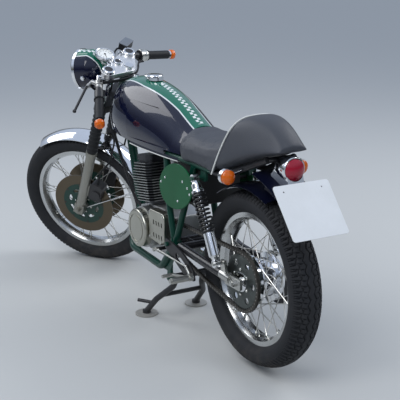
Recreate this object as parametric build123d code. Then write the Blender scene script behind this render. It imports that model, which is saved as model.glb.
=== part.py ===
from build123d import *
import math
import os

# Cafe racer motorcycle, parked on its centre stand with the steering on its left stop.
# All sizes are in millimetres. +X points forward, +Y to the rider's left, +Z up.
# The pieces are placed from the ground point below the rear axle, and the finished
# model is moved as a whole so that its origin lies at the bottom centre of its box.

os.makedirs("parts", exist_ok=True)

# Stance
wheelbase = 1400
rake = 27
fork_offset = 48
steering_lock = 39
rear_wheel_lift = 15
turned_drop = 6.3

# Wheels and tyres: outer radius, width, bead seat radius, flange radius, flange half width
front_tyre_radius = 327
front_tyre_width = 94
front_bead_radius = 241.3
front_flange_radius = 252
front_rim_half = 28
rear_tyre_radius = 321
rear_tyre_width = 121
rear_bead_radius = 228.6
rear_flange_radius = 240
rear_rim_half = 33
rim_wall = 4
bead_clearance = 0.4
spoke_radius = 1.8
spokes_per_side = 18
front_spoke_spread = 5
rear_spoke_spread = 6
axle_radius = 8.5
axle_clearance = 0.3

# Front hub, twin discs and callipers
front_hub_flange_radius = 46
front_hub_flange_y = 27
disc_y = 60
disc_thickness = 5
disc_radius = 147
disc_inner_radius = 108
carrier_thickness = 6

# Rear hub, brake drum, sprocket and chain
rear_drum_radius = 88
rear_flange_y = 34
chain_y = 75
chain_pitch = 15.875
rear_teeth = 42
front_teeth = 16
sprocket_thickness = 6.4
roller_radius = 5.1
plate_height = 15
plate_waist = 10.5
plate_thickness = 1.8
plate_clearance = 1.0
roller_clearance = 1.0
chain_sag = 18

# Fork, yokes and steering head, measured along the steering axis from the axle's level
fork_half_spacing = 94
stanchion_radius = 17.5
slider_radius = 22
slider_top = 322
slider_collar = 3
slider_bottom = -26
gaiter_top = 545
gaiter_radius = 26
gaiter_folds = 10
lower_yoke_bottom = 548
lower_yoke_thickness = 34
top_yoke_bottom = 722
top_yoke_thickness = 22
fork_cap_height = 10
stem_radius = 14
head_radius = 27
yoke_clearance = 6
yoke_sweep_radius = 42
fit_clearance = 0.3
press_clearance = 0.15

# Handlebars: clip-on bars below the top yoke, then grips, levers and end lamps
bar_radius = 11
bar_start = (76, 112, 707)
bar_end = (-49, 328, 670)
clip_bottom = 692
clip_height = 26
grip_length = 120
grip_radius = 18.5
end_lamp_radius = 21
end_lamp_length = 34
lever_end = (80, 292, 634)
mirror_hole_radius = 5
mirror_hole_depth = 15
mirror_boss_top = 31

# Headlamp and speedometer, in the steering frame
lamp_radius = 88
lamp_x = 153
lamp_z = 662
gauge_x = 116
gauge_z = 756
gauge_radius = 41
gauge_depth = 16
bracket_low = 636

# Front mudguard
guard_gap = 16
guard_half_width = 56
guard_sheet = 2.5
guard_start = 36
guard_end = 146
caliper_z = 112

# Engine
crank_x = 712
crank_z = 357
cylinder_tilt = 9
alternator_radius = 78
alternator_face_y = 132
case_half_width = 100
fin_half_width = 88
fin_half_length = 68
fin_growth = 1.6
fin_thickness = 3
fin_pitch = 11
fin_count = 9
output_x = 560
output_z = 392
sprocket_cover_y = 118

# Frame and swingarm
spine_radius = 22
cradle_radius = 15
frame_plate_y = 98
frame_tube_radius = 13
rail_radius = 12
rail_y = 92
cross_radius = 14
pivot_x = 444
pivot_z = 362
pivot_radius = 20
pivot_half = 81
hanger_y = 126
pivot_bolt_radius = 8.7
arm_radius = 17
arm_y = 102
cradle_low_z = 232

# Shock absorbers
shock_y = 132
shock_top = (232, 667)
shock_bottom = (80, 389)
spring_radius = 22
spring_wire = 4
spring_turns = 9
shroud_radius = 20
shroud_top = 112
spring_high = 262

# Tank, seat and hump; the knee recess is an outline from the tank's rear end
knee_depth = 6
knee_corners = [(62, 722), (62, 764), (82, 804), (119, 836), (207, 861), (440, 874), (440, 722)]
tank_front_gap = 392
tank_rear_x = 398
tank_tunnel_half = 34
cap_share = 0.387
seat_half_width = 124
seat_front_x = 394
seat_base_z = 712
hump_front_x = 118
hump_top_z = 924
soft_clearance = 0.4

# Side covers, plate, lamps
cover_x = 378
cover_drop = 13
box_low = 546
cover_y = 128
cover_half_length = 128
cover_half_height = 86
cover_tilt = 15
cover_thickness = 5
rear_guard_gap = 24
rear_guard_half = 66
rear_guard_start = 56
rear_guard_end = 112
tail_tray_radius = 411
tail_tray_half = 76
tail_tray_start = 98
tail_tray_end = 128
plate_gap = 0.3
plate_sheet = 2
plate_hole_spacing = 150
plate_hole_radius = 3
plate_hole_drop = 24
backing_sheet = 2.5
plate_width = 220
plate_tall = 200
plate_top = (-232, 734)
plate_slope = 40
tail_lamp_x = -196
tail_lamp_z = 771
tail_lamp_radius = 37
rear_lamp_y = 150
rear_lamp_x = -8
rear_lamp_z = 728
rear_lamp_radius = 28

# Rear-sets and levers
peg_x = 254
peg_z = 285
lever_tip_x = 398
gear_tip_z = 252
brake_tip_z = 262
shift_x = 540
shift_z = 314

# Centre stand
stand_pivot_x = 508
stand_pivot_z = 198
stand_tube_half = 78
stand_hanger_y = 88
stand_hanger_radius = 15
stand_pin_radius = 8
stand_foot_x = 664
stand_foot_y = 116
stand_tube_radius = 12
# the bends of a leg, from the pivot: forward, outward and down
stand_leg_bends = [(0, 62, 0), (16, 64, -44), (82, 108, -112)]
stand_pad_radius = 46
stand_pad_thickness = 6

# Cables and hoses
cable_radius = 3.5
hose_radius = 4

# Silencer and header
silencer_y = -150
silencer_front = (452, 212.5)
silencer_rear = (84, 239.5)
silencer_front_radius = 27
silencer_rear_radius = 56
header_radius = 20

guard_radius = front_tyre_radius + guard_gap
rear_guard_radius = rear_tyre_radius + rear_guard_gap
rear_axle_z = rear_tyre_radius + rear_wheel_lift
front_axle_z = front_tyre_radius - turned_drop

# The steering frame: its Z is the steering axis, its X points forward and up, and its
# origin is level with the front axle along the axis. The whole front end turns by the lock.
sin_rake = math.sin(math.radians(rake))
cos_rake = math.cos(math.radians(rake))
steer_origin = Vector(wheelbase - fork_offset * cos_rake, 0, front_axle_z - fork_offset * sin_rake)
steer_axis = Vector(-sin_rake, 0, cos_rake)
steer_frame = Plane(origin=steer_origin, x_dir=(cos_rake, 0, sin_rake), z_dir=steer_axis)
steer_place = steer_frame.location * Location((0, 0, 0), (0, 0, steering_lock))

nodes = {}


def keep(name, *shapes):
    """Store one node, as one solid or as separate solids."""
    solids = [s for shape in shapes for s in shape.solids()]
    nodes[name] = solids[0] if len(solids) == 1 else Compound(children=solids)


def steer(shape):
    """Move a shape from the steering frame to its place on the motorcycle."""
    return steer_place * shape


def bar(start, end, radius):
    """A round bar between two points."""
    start = Vector(*start)
    run = Vector(*end) - start
    return Plane(origin=start, z_dir=run) * Cylinder(
        radius, run.length, align=(Align.CENTER, Align.CENTER, Align.MIN))


def cone_bar(start, end, start_radius, end_radius):
    """A tapered round bar between two points."""
    start = Vector(*start)
    run = Vector(*end) - start
    return Plane(origin=start, z_dir=run) * Cone(
        start_radius, end_radius, run.length, align=(Align.CENTER, Align.CENTER, Align.MIN))


def bent_bar(points, bend_radii, radius):
    """A round tube along straight runs joined by arcs."""
    path = FilletPolyline(*points, radius=bend_radii)
    start = Plane(origin=path @ 0, z_dir=path % 0)
    return sweep(start * Circle(radius), path=path)


def drum(radius, y_from, y_to, x=0, z=0):
    """A cylinder along Y."""
    return bar((x, y_from, z), (x, y_to, z), radius)


def slab(sketch, y_from, y_to):
    """A flat piece in the XZ plane, from one Y to another."""
    plane = Plane(origin=(0, y_to, 0), x_dir=(1, 0, 0), z_dir=(0, -1, 0))
    return extrude(plane * sketch, amount=y_to - y_from)


def spun(profile):
    """Turn a closed outline of (radius, y) points about the Y axis."""
    face = make_face(Polyline(*profile, close=True))
    return revolve(face, Axis.Y, 360)


def dome(edge_x, edge_r, tip_x):
    """The arc of a round cap, from its rim to its tip on the X axis."""
    way = 1 if tip_x > edge_x else -1
    rise = abs(tip_x - edge_x)
    radius = (edge_r ** 2 + rise ** 2) / (2 * rise)
    centre = tip_x - way * radius
    half = math.atan2(edge_r, way * (edge_x - centre)) / 2
    middle = (centre + way * radius * math.cos(half), radius * math.sin(half))
    return ThreePointArc((edge_x, edge_r), middle, (tip_x, 0))


def turned(edges):
    """Turn a closed outline of (x, radius) edges about the X axis."""
    return revolve(make_face(edges), Axis.X, 360)


def mirrored(shape):
    """A shape and its twin on the other side, as two shapes."""
    return [shape, mirror(shape, about=Plane.XZ)]


# Wheels

def tyre(outer, width, bead, flange, rim_half):
    """A solid tyre ring: beads between the flanges, bulged walls and a round crown."""
    half = width / 2
    bead_half = rim_half - rim_wall - bead_clearance
    wall_r = bead + 0.52 * (outer - bead)
    shoulder_r = outer - 0.17 * width
    shoulder_y = 0.43 * width
    edges = Line((bead + bead_clearance, bead_half), (flange, bead_half))
    edges += ThreePointArc((flange, bead_half), (wall_r, half), (shoulder_r, shoulder_y))
    edges += ThreePointArc((shoulder_r, shoulder_y), (outer, 0), (shoulder_r, -shoulder_y))
    edges += ThreePointArc((shoulder_r, -shoulder_y), (wall_r, -half), (flange, -bead_half))
    edges += Line((flange, -bead_half), (bead + bead_clearance, -bead_half))
    edges += Line((bead + bead_clearance, -bead_half), (bead + bead_clearance, bead_half))
    return revolve(make_face(edges), Axis.Y, 360)


def rim(bead, flange, half):
    """An alloy rim: two flanges, bead seats and a dropped well."""
    inner = half - rim_wall
    well = bead - 9
    side = [(flange, inner), (flange, half), (bead - 6, half), (well - 7, half - 14), (well - 9, 0)]
    seat = [(well, 0), (well, inner - 13), (bead - 1, inner - 8), (bead - 1, inner)]
    right = [(r, -y) for r, y in reversed(side[:-1])]
    right_seat = [(r, -y) for r, y in reversed(seat[1:])]
    return spun(side + right + right_seat + seat[1:])


def spokes(hub_r, hub_y, rim_r, rim_y):
    """Crossed spokes, half leading and half trailing, with no two touching."""
    made = []
    cross = math.radians(360 / spokes_per_side * 2.6)
    chord = math.hypot(rim_r * math.cos(cross) - hub_r, rim_r * math.sin(cross))
    hub_slant = rim_r * math.sin(cross) / chord
    rim_slant = hub_r * math.sin(cross) / chord
    hub_r += fit_clearance + spoke_radius * hub_slant
    rim_r -= fit_clearance + spoke_radius * rim_slant
    for side in (1, -1):
        for i in range(spokes_per_side):
            lead = 1 if i % 2 else -1
            hub_angle = math.radians(i * 360 / spokes_per_side + (side - 1) * 5)
            rim_angle = hub_angle + lead * cross
            near_y = side * (hub_y + 3.2 * lead)
            far_y = side * (rim_y + 2.6 * lead)
            start = (hub_r * math.cos(hub_angle), near_y, hub_r * math.sin(hub_angle))
            end = (rim_r * math.cos(rim_angle), far_y, rim_r * math.sin(rim_angle))
            run = Vector(*end) - Vector(*start)
            place = Plane(origin=Vector(*start), z_dir=run)
            made.append(extrude(place * RegularPolygon(spoke_radius, 6), amount=run.length))
    return made


front_wheel_place = steer_place * Location((fork_offset, 0, 0))
rear_wheel_place = Location((0, 0, rear_axle_z))

front_tyre = tyre(front_tyre_radius, front_tyre_width, front_bead_radius, front_flange_radius, front_rim_half)
front_rim = rim(front_bead_radius, front_flange_radius, front_rim_half)
rear_tyre = tyre(rear_tyre_radius, rear_tyre_width, rear_bead_radius, rear_flange_radius, rear_rim_half)
rear_rim = rim(rear_bead_radius, rear_flange_radius, rear_rim_half)

keep("front_tyre", front_wheel_place * front_tyre)
keep("front_rim", front_wheel_place * front_rim)
keep("rear_tyre", rear_wheel_place * rear_tyre)
keep("rear_rim", rear_wheel_place * rear_rim)

front_well_radius = front_bead_radius - 18
rear_well_radius = rear_bead_radius - 18
front_spokes = spokes(front_hub_flange_radius, front_hub_flange_y, front_well_radius, front_spoke_spread)
rear_spokes = spokes(rear_drum_radius, rear_flange_y, rear_well_radius, rear_spoke_spread)
keep("front_spokes", *[front_wheel_place * s for s in front_spokes])
keep("rear_spokes", *[rear_wheel_place * s for s in rear_spokes])

disc_seat_y = disc_y - carrier_thickness / 2
hub_bore = axle_radius + axle_clearance
fork_inner_y = fork_half_spacing - slider_radius
front_hub = spun([
    (hub_bore, -disc_y - 6), (24, -disc_y - 6), (24, -disc_seat_y), (32, -disc_seat_y), (32, -disc_seat_y + 8),
    (22, -front_hub_flange_y - 12), (22, -front_hub_flange_y - 6), (front_hub_flange_radius, -front_hub_flange_y - 5),
    (front_hub_flange_radius, -front_hub_flange_y + 5), (24, -front_hub_flange_y + 9),
    (24, front_hub_flange_y - 9), (front_hub_flange_radius, front_hub_flange_y - 5),
    (front_hub_flange_radius, front_hub_flange_y + 5), (22, front_hub_flange_y + 6), (22, front_hub_flange_y + 12),
    (32, disc_seat_y - 8), (32, disc_seat_y), (24, disc_seat_y), (24, disc_y + 6), (hub_bore, disc_y + 6)])
keep("front_hub", front_wheel_place * front_hub)


def brake_disc():
    """A swept ring on a carrier with oval windows, seated on the hub's nose."""
    ring = Circle(disc_radius) - Circle(disc_inner_radius - 6)
    plate = Circle(disc_inner_radius - 4) - Circle(24 + fit_clearance)
    window = Rot(0, 0, 90) * SlotOverall(34, 16)
    windows = [Rot(0, 0, 45 * i) * Pos(68, 0) * window for i in range(8)]
    plate = plate - Sketch() - windows
    disc = slab(ring, -disc_thickness / 2, disc_thickness / 2)
    disc += slab(plate, -carrier_thickness / 2, carrier_thickness / 2)
    return disc


disc = brake_disc()
keep("front_discs", *[front_wheel_place * Pos(0, side * disc_y, 0) * disc for side in (1, -1)])

rear_hub = spun([
    (hub_bore, -62), (40, -62), (rear_drum_radius - 10, -54), (rear_drum_radius - 4, -rear_flange_y - 6),
    (rear_drum_radius, -rear_flange_y - 5), (rear_drum_radius, -rear_flange_y + 5), (70, -rear_flange_y + 9),
    (62, rear_flange_y - 12), (rear_drum_radius, rear_flange_y - 5), (rear_drum_radius, rear_flange_y + 5),
    (58, rear_flange_y + 8), (58, chain_y - sprocket_thickness / 2 - 6), (50, chain_y - sprocket_thickness / 2),
    (36, chain_y - sprocket_thickness / 2), (36, chain_y + 6), (hub_bore, chain_y + 6)])
keep("rear_hub", rear_wheel_place * rear_hub)

rear_pitch_radius = chain_pitch / (2 * math.sin(math.pi / rear_teeth))
front_pitch_radius = chain_pitch / (2 * math.sin(math.pi / front_teeth))


def sprocket(pitch_radius, teeth, bore):
    """A chain wheel with blunt teeth that stay inside the rollers."""
    tip = pitch_radius - roller_radius - roller_clearance
    root = tip - 5
    points = []
    for i in range(teeth):
        for part, r in ((-0.32, root), (-0.14, tip), (0.14, tip), (0.32, root)):
            angle = 2 * math.pi * (i + part) / teeth
            points.append((r * math.cos(angle), r * math.sin(angle)))
    return make_face(Polyline(*points, close=True)) - Circle(bore)


rear_sprocket_face = sprocket(rear_pitch_radius, rear_teeth, 36 + fit_clearance)
sprocket_windows = [Rot(0, 0, 60 * i) * Pos(72, 0) * Circle(13) for i in range(6)]
rear_sprocket = slab(rear_sprocket_face - sprocket_windows, -sprocket_thickness / 2, sprocket_thickness / 2)
keep("rear_sprocket", rear_wheel_place * Pos(0, chain_y, 0) * rear_sprocket)


# Drive chain: the pins follow two wraps, a straight upper run and a slack lower run

def chain_path():
    """The closed line of the pins, in the XZ plane."""
    rear = Vector(0, rear_axle_z)
    front = Vector(output_x, output_z)
    run = front - rear
    angle = math.atan2(run.Y, run.X)
    lean = math.asin((rear_pitch_radius - front_pitch_radius) / run.length)
    up = angle + math.pi / 2 - lean
    down = angle - math.pi / 2 + lean

    def on(centre, r, a):
        return (centre.X + r * math.cos(a), centre.Y + r * math.sin(a))

    rear_top = on(rear, rear_pitch_radius, up)
    front_top = on(front, front_pitch_radius, up)
    front_nose = on(front, front_pitch_radius, angle)
    front_low = on(front, front_pitch_radius, down)
    rear_low = on(rear, rear_pitch_radius, down)
    rear_tail = on(rear, rear_pitch_radius, angle + math.pi)
    slack = ((front_low[0] + rear_low[0]) / 2, (front_low[1] + rear_low[1]) / 2 - chain_sag)
    return Wire([
        Line(rear_top, front_top), ThreePointArc(front_top, front_nose, front_low),
        ThreePointArc(front_low, slack, rear_low), ThreePointArc(rear_low, rear_tail, rear_top)])


pin_line = chain_path()
link_count = 2 * round(pin_line.length / chain_pitch / 2)


def link_strip(y_from, y_to):
    """One row of side plates, full at the pins and waisted between them."""
    outer, inner = [], []
    for i in range(2 * link_count):
        place = i / (2 * link_count)
        at = pin_line.position_at(place)
        along = pin_line.tangent_at(place)
        out = Vector(-along.Y, along.X)
        half = plate_height / 2 if i % 2 == 0 else plate_waist / 2
        outer.append((at.X + out.X * half, at.Y + out.Y * half))
        inner.append((at.X - out.X * half, at.Y - out.Y * half))
    rows = [make_face(Polyline(*row, close=True)) for row in (outer, inner)]
    rows.sort(key=lambda face: face.area)
    return slab(rows[1] - rows[0], y_from, y_to)


def roller_strip(y_from, y_to):
    """The rollers' row, as a plain band between the plates."""
    outer = offset(pin_line, roller_radius)
    inner = offset(pin_line, -roller_radius)
    rows = sorted([make_face(outer), make_face(inner)], key=lambda face: face.area)
    return slab(rows[1] - rows[0], y_from, y_to)


plate_inner = sprocket_thickness / 2 + plate_clearance
plate_outer = plate_inner + plate_thickness
chain = roller_strip(chain_y - plate_inner, chain_y + plate_inner)
chain += link_strip(chain_y + plate_inner, chain_y + plate_outer)
chain += link_strip(chain_y - plate_outer, chain_y - plate_inner)
keep("drive_chain", chain)


# Rear axle and swingarm

bridge_x = pivot_x - 58
bridge_z = pivot_z - 2
arm_rear = (30, rear_axle_z + 3)
arms = []
for side in (1, -1):
    arm = bar((bridge_x + 8, side * arm_y, bridge_z), (arm_rear[0], side * arm_y, arm_rear[1]), arm_radius)
    arm += bar((pivot_x, side * 48, pivot_z), (bridge_x, side * 48, bridge_z), 16)
    plate = slab(Pos(14, rear_axle_z) * RectangleRounded(104, 42, 8), side * arm_y - 5, side * arm_y + 5)
    lug_outline = Polyline(
        (shock_bottom[0] - 24, rear_axle_z + 8), (shock_bottom[0] + 34, rear_axle_z + 12),
        (shock_bottom[0] + 12, shock_bottom[1] + 8), (shock_bottom[0] - 12, shock_bottom[1] + 8), close=True)
    lug = slab(make_face(lug_outline), side * arm_y - 5, side * arm_y + 5)
    stud = drum(7, *sorted((side * (arm_y - 4), side * (shock_y + 16))), *shock_bottom)
    arms.append(arm + plate + lug + stud)
swingarm = drum(pivot_radius, -pivot_half, pivot_half, pivot_x, pivot_z)
swingarm += drum(16, -arm_y, arm_y, bridge_x, bridge_z)
swingarm = swingarm + arms[0] + arms[1]
swingarm -= drum(axle_radius + axle_clearance, -arm_y - 20, arm_y + 20, 0, rear_axle_z)
swingarm -= drum(pivot_bolt_radius + axle_clearance, -pivot_half - 1, pivot_half + 1, pivot_x, pivot_z)
axle_half = arm_y + 5 + fit_clearance
rear_axle = drum(axle_radius, -axle_half - 16, axle_half + 16, 0, rear_axle_z)
for side in (1, -1):
    near, far = sorted((side * axle_half, side * (axle_half + 12)))
    rear_axle += slab(Pos(0, rear_axle_z) * RegularPolygon(13, 6), near, far)
spacer = Pos(0, rear_axle_z) * (Circle(15) - Circle(axle_radius - 0.5))
rear_axle += slab(spacer, chain_y + 6 + fit_clearance, arm_y - 5 - fit_clearance)
rear_axle += slab(spacer, -arm_y + 5 + fit_clearance, -62 - fit_clearance)
keep("swingarm", swingarm, rear_axle)


# Frame: head tube, spine and seat rails, then the cradle that carries the engine

def on_axis(z):
    """A point on the steering axis, in the motorcycle's frame."""
    return steer_origin + steer_axis * z


head_low = lower_yoke_bottom + lower_yoke_thickness + yoke_clearance
head_high = top_yoke_bottom - yoke_clearance
head_tube = bar(on_axis(head_low), on_axis(head_high), head_radius)
head_bore = bar(on_axis(head_low - 5), on_axis(head_high + 5), stem_radius + fit_clearance)
rail_z = seat_base_z - rail_radius - fit_clearance
joint_x = tank_rear_x + 112
spine_front = on_axis(head_low + 36)
spine_rear = Vector(joint_x, 0, rail_z + 22)
spine = bar(spine_front, spine_rear, spine_radius)
cross_tube = drum(cross_radius, -rail_y, rail_y, joint_x, rail_z)
rails = []
for side in (1, -1):
    route = [(joint_x, side * rail_y, rail_z), (hump_front_x - 14, side * rail_y, rail_z), (-120, side * 52, rail_z + 94)]
    rail = bent_bar(route, 90, rail_radius)
    stud = drum(8, *sorted((side * (rail_y - 4), side * (shock_y + 16))), *shock_top)
    lug = slab(Pos(shock_top[0], shock_top[1] + 10) * RectangleRounded(36, 50, 8), side * rail_y - 5, side * rail_y + 5)
    rails.append(rail + stud + lug)
tail_cross = drum(9.7, -52, 52, -116, rail_z + 92.5)
buffer_at = spine_front + (spine_rear - spine_front) * 0.16
tank_buffer = drum(12, fit_clearance - tank_tunnel_half, tank_tunnel_half - fit_clearance, buffer_at.X, buffer_at.Z)
frame_spine = head_tube + spine + cross_tube + rails[0] + rails[1] + tail_cross + tank_buffer - head_bore
keep("frame_spine", frame_spine)

down_top = on_axis(head_low + 18)
down_foot = Vector(crank_x + 212, 0, crank_z + 36)
down_tube = bar(down_top + Vector(-20, 0, -12), down_foot, 19)
down_tube -= bar(on_axis(head_low), on_axis(head_high), head_radius + fit_clearance)
down_tube -= bar(on_axis(lower_yoke_bottom - 40), on_axis(head_low), yoke_sweep_radius)
down_tube -= bar(spine_front, spine_rear, spine_radius + fit_clearance)
loops = []
for side in (1, -1):
    y = side * frame_plate_y
    route = [
        tuple(down_foot), (crank_x + 160, side * 76, cradle_low_z), (stand_pivot_x + 50, side * 96, cradle_low_z),
        (pivot_x + 4, y, pivot_z - 10)]
    loop = bent_bar(route, [60, 60], cradle_radius)
    front_leg = [(pivot_x + 4, y, pivot_z - 4), (pivot_x + 50, y, pivot_z + 156),
                 (joint_x, side * (rail_y + 4), rail_z - 5)]
    rear_leg = [(pivot_x - 4, y, pivot_z - 4), (shock_top[0] + 62, y, rail_z - 5)]
    lug = drum(24, *sorted((side * (pivot_half + 2), side * (frame_plate_y + 10))), pivot_x, pivot_z)
    legs = bent_bar(front_leg, 90, frame_tube_radius) + bar(*rear_leg, frame_tube_radius)
    rail_ends = (joint_x + 40, side * rail_y, rail_z), (joint_x - 300, side * rail_y, rail_z)
    legs -= bar(*rail_ends, rail_radius + fit_clearance)
    legs -= drum(cross_radius + fit_clearance, -rail_y, rail_y, joint_x, rail_z)
    loops.append(loop + legs + lug)
frame_cradle = down_tube + loops[0] + loops[1]
frame_cradle += drum(pivot_bolt_radius, -hanger_y - 16, hanger_y + 16, pivot_x, pivot_z)
hanger_high = cradle_low_z + 4 * cradle_radius
hanger_low = stand_pivot_z - stand_hanger_radius
for side in (1, -1):
    outline = Pos(stand_pivot_x, (hanger_high + hanger_low) / 2) * RectangleRounded(
        2 * stand_hanger_radius, hanger_high - hanger_low, 12)
    frame_cradle += slab(outline, side * stand_hanger_y - 5, side * stand_hanger_y + 5)
frame_cradle += drum(stand_pin_radius, -stand_hanger_y - 12, stand_hanger_y + 12, stand_pivot_x, stand_pivot_z)
keep("frame_cradle", frame_cradle)


# Engine: crankcase with its sump, finned cylinder and head, and the covers

case_outline = Polyline(
    (output_x - 44, output_z + 44), (output_x + 40, output_z + 62), (crank_x - 30, crank_z + 92),
    (crank_x + 88, crank_z + 70), (crank_x + 112, crank_z + 10), (crank_x + 70, cradle_low_z + 26),
    (output_x - 20, cradle_low_z + 26), (output_x - 52, output_z - 62), close=True)
crankcase = slab(make_face(case_outline), -62, 62)
crankcase = fillet(crankcase.edges().filter_by(Axis.Y), 14)
crank_boss = drum(alternator_radius + 6, -case_half_width, case_half_width, crank_x, crank_z)
output_shaft = drum(14, 60, chain_y + 8, output_x, output_z)
crankcase = crankcase + crank_boss + output_shaft
keep("crankcase", crankcase)

engine_place = Location((crank_x, 0, crank_z), (0, cylinder_tilt, 0))
cylinder_base = 92
fin_corner = 26
cylinder_height = (fin_count - 1) * fin_pitch + fin_thickness + 12
barrel = Pos(0, 0, cylinder_base) * Cylinder(58, cylinder_height, align=(Align.CENTER, Align.CENTER, Align.MIN))
for i in range(fin_count):
    grown = fin_growth * i
    fin = RectangleRounded(2 * (fin_half_length + grown), 2 * (fin_half_width + grown * 0.8), fin_corner)
    barrel += Pos(0, 0, cylinder_base + 12 + i * fin_pitch) * extrude(fin, amount=fin_thickness)
keep("cylinder", engine_place * barrel)

head_base = cylinder_base + cylinder_height + fit_clearance
head_height = 96
head_fins = 6
head_half_length = fin_half_length + fin_growth * fin_count
head_half_width = fin_half_width + fin_growth * 0.8 * fin_count
head = Pos(0, 0, head_base) * extrude(RectangleRounded(104, 150, 24), amount=head_height)
for i in range(head_fins):
    fin = RectangleRounded(2 * head_half_length - 5 * i, 2 * head_half_width - 3 * i, fin_corner)
    head += Pos(0, 0, head_base + 6 + i * fin_pitch) * extrude(fin, amount=fin_thickness)
rocker = Pos(0, 0, head_base + head_height - 22) * extrude(RectangleRounded(118, 160, 28), amount=22)
inlet = Pos(-50, 0, head_base + 34) * Rot(0, -90, 0) * Cylinder(24, 34, align=(Align.CENTER, Align.CENTER, Align.MIN))
outlet = Pos(50, -20, head_base + 30) * Rot(0, 90, 0) * Cylinder(26, 34, align=(Align.CENTER, Align.CENTER, Align.MIN))
head = head + rocker + inlet + outlet
keep("cylinder_head", engine_place * head)

cover_rim = alternator_face_y - case_half_width - fit_clearance
alternator = Plane(origin=(crank_x, case_half_width + fit_clearance, crank_z), z_dir=(0, 1, 0)) * Cylinder(
    alternator_radius, cover_rim, align=(Align.CENTER, Align.CENTER, Align.MIN))
alternator = fillet(alternator.edges().group_by(Axis.Y)[-1], 9)
groove = slab(Pos(crank_x, crank_z) * (Circle(alternator_radius - 20) - Circle(alternator_radius - 25)),
              alternator_face_y - 2.5, alternator_face_y + 5)
clutch = Plane(origin=(crank_x - 26, -case_half_width - fit_clearance, crank_z), z_dir=(0, -1, 0)) * Cylinder(
    alternator_radius + 12, 34, align=(Align.CENTER, Align.CENTER, Align.MIN))
clutch = fillet(clutch.edges().group_by(Axis.Y)[0], 12)
keep("engine_covers", alternator - groove, clutch)

cover_base = chain_y + plate_outer + 3
cover_outline = Polyline(
    (output_x - 58, output_z - 46), (output_x - 58, output_z + 52), (output_x - 46, output_z + 68),
    (output_x + 68, output_z + 66), (output_x + 68, output_z - 56), (output_x - 30, output_z - 62), close=True)
cover_face = fillet(make_face(cover_outline).vertices(), 14)
sprocket_cover = slab(cover_face, cover_base, sprocket_cover_y)
sprocket_cover = fillet(sprocket_cover.edges().group_by(Axis.Y)[-1], 5)
slot = Rot(0, 0, 75) * SlotOverall(20, 8)
slot_places = [(-40 + 22 * i, 20) for i in range(4)] + [(-40 + 22 * i, -32) for i in range(4)]
for x, z in slot_places:
    sprocket_cover -= slab(Pos(output_x + x, output_z + z) * slot, cover_base - 1, sprocket_cover_y + 1)
sprocket_cover -= slab(offset(cover_face, -5), cover_base - 1, sprocket_cover_y - 5)
keep("sprocket_cover", sprocket_cover)

output_sprocket = slab(Pos(output_x, output_z) * sprocket(front_pitch_radius, front_teeth, 14 + 0.15),
                       chain_y - sprocket_thickness / 2, chain_y + sprocket_thickness / 2)
keep("output_sprocket", output_sprocket)


# Carburettor, header and silencer

inlet_place = engine_place * Location((-84 - fit_clearance, 0, head_base + 34), (0, -90, 0))
carb = Cylinder(21, 96, align=(Align.CENTER, Align.CENTER, Align.MIN))
carb += Pos(0, 0, 26) * Cylinder(30, 44, align=(Align.CENTER, Align.CENTER, Align.MIN))
carb += Pos(-34, 0, 30) * Box(56, 52, 36, align=(Align.CENTER, Align.CENTER, Align.MIN))
carb += Pos(44, 0, 48) * Rot(0, 90, 0) * Cylinder(19, 60)
carb += Pos(0, 0, 96) * Cone(30, 38, 40, align=(Align.CENTER, Align.CENTER, Align.MIN))
keep("carburettor", inlet_place * carb)

port = (engine_place * Location((84 + fit_clearance, -20, head_base + 30))).position
port_out = (engine_place * Location((150, -20, head_base + 30))).position
header_route = [
    tuple(port), tuple(port_out), (port_out.X + 34, -60, crank_z + 60), (crank_x + 150, -128, crank_z - 96),
    (crank_x + 40, silencer_y + 12, crank_z - 132), (silencer_front[0], silencer_y, silencer_front[1])]
header = bent_bar(header_route, [42, 70, 80, 80], header_radius)
keep("exhaust_header", header)

socket_depth = 12
front_end = (silencer_front[0] + socket_depth, silencer_y, silencer_front[1])
rear_end = (silencer_rear[0], silencer_y - 4, silencer_rear[1])
header_end = Vector(*header_route[-1])
header_back = (header_end - Vector(*header_route[-2])).normalized()
silencer = cone_bar(front_end, rear_end, silencer_front_radius, silencer_rear_radius)
silencer -= bar(header_end - header_back * 60, header_end + header_back * fit_clearance, header_radius + fit_clearance)
keep("silencer", silencer)


# Fuel tank: rounded sections from the steering head to the seat

# share of the length from the front, then top height, half width, shoulder half width,
# shoulder height, bottom half width and bottom height
tank_front_x = wheelbase - tank_front_gap
tank_length = tank_front_x - tank_rear_x
tank_sections = [
    (0, 884, 84, 56, 860, 90, 744),
    (0.128, 934, 122, 84, 902, 116, 716),
    (0.341, 942, 132, 88, 902, 124, 706),
    (0.603, 914, 122, 78, 876, 120, 702),
    (0.833, 862, 104, 70, 830, 114, 702),
    (1, 816, 94, 66, 790, 104, 702),
]


def tank_section(share, top, half, shoulder_y, shoulder_z, low_y, low_z, inset=0):
    """One cross-section: a flat floor, two bulged walls and a crowned top."""
    x = tank_front_x - share * tank_length
    half, shoulder_y, low_y = half - inset, shoulder_y - inset, low_y - inset
    mid_z = (shoulder_z + low_z) / 2
    edges = Line((-low_y, low_z), (low_y, low_z))
    edges += ThreePointArc((low_y, low_z), (half, mid_z), (shoulder_y, shoulder_z))
    edges += ThreePointArc((shoulder_y, shoulder_z), (0, top), (-shoulder_y, shoulder_z))
    edges += ThreePointArc((-shoulder_y, shoulder_z), (-half, mid_z), (-low_y, low_z))
    plane = Plane(origin=(x, 0, 0), x_dir=(0, 1, 0), z_dir=(1, 0, 0))
    return plane * make_face(edges)


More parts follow.
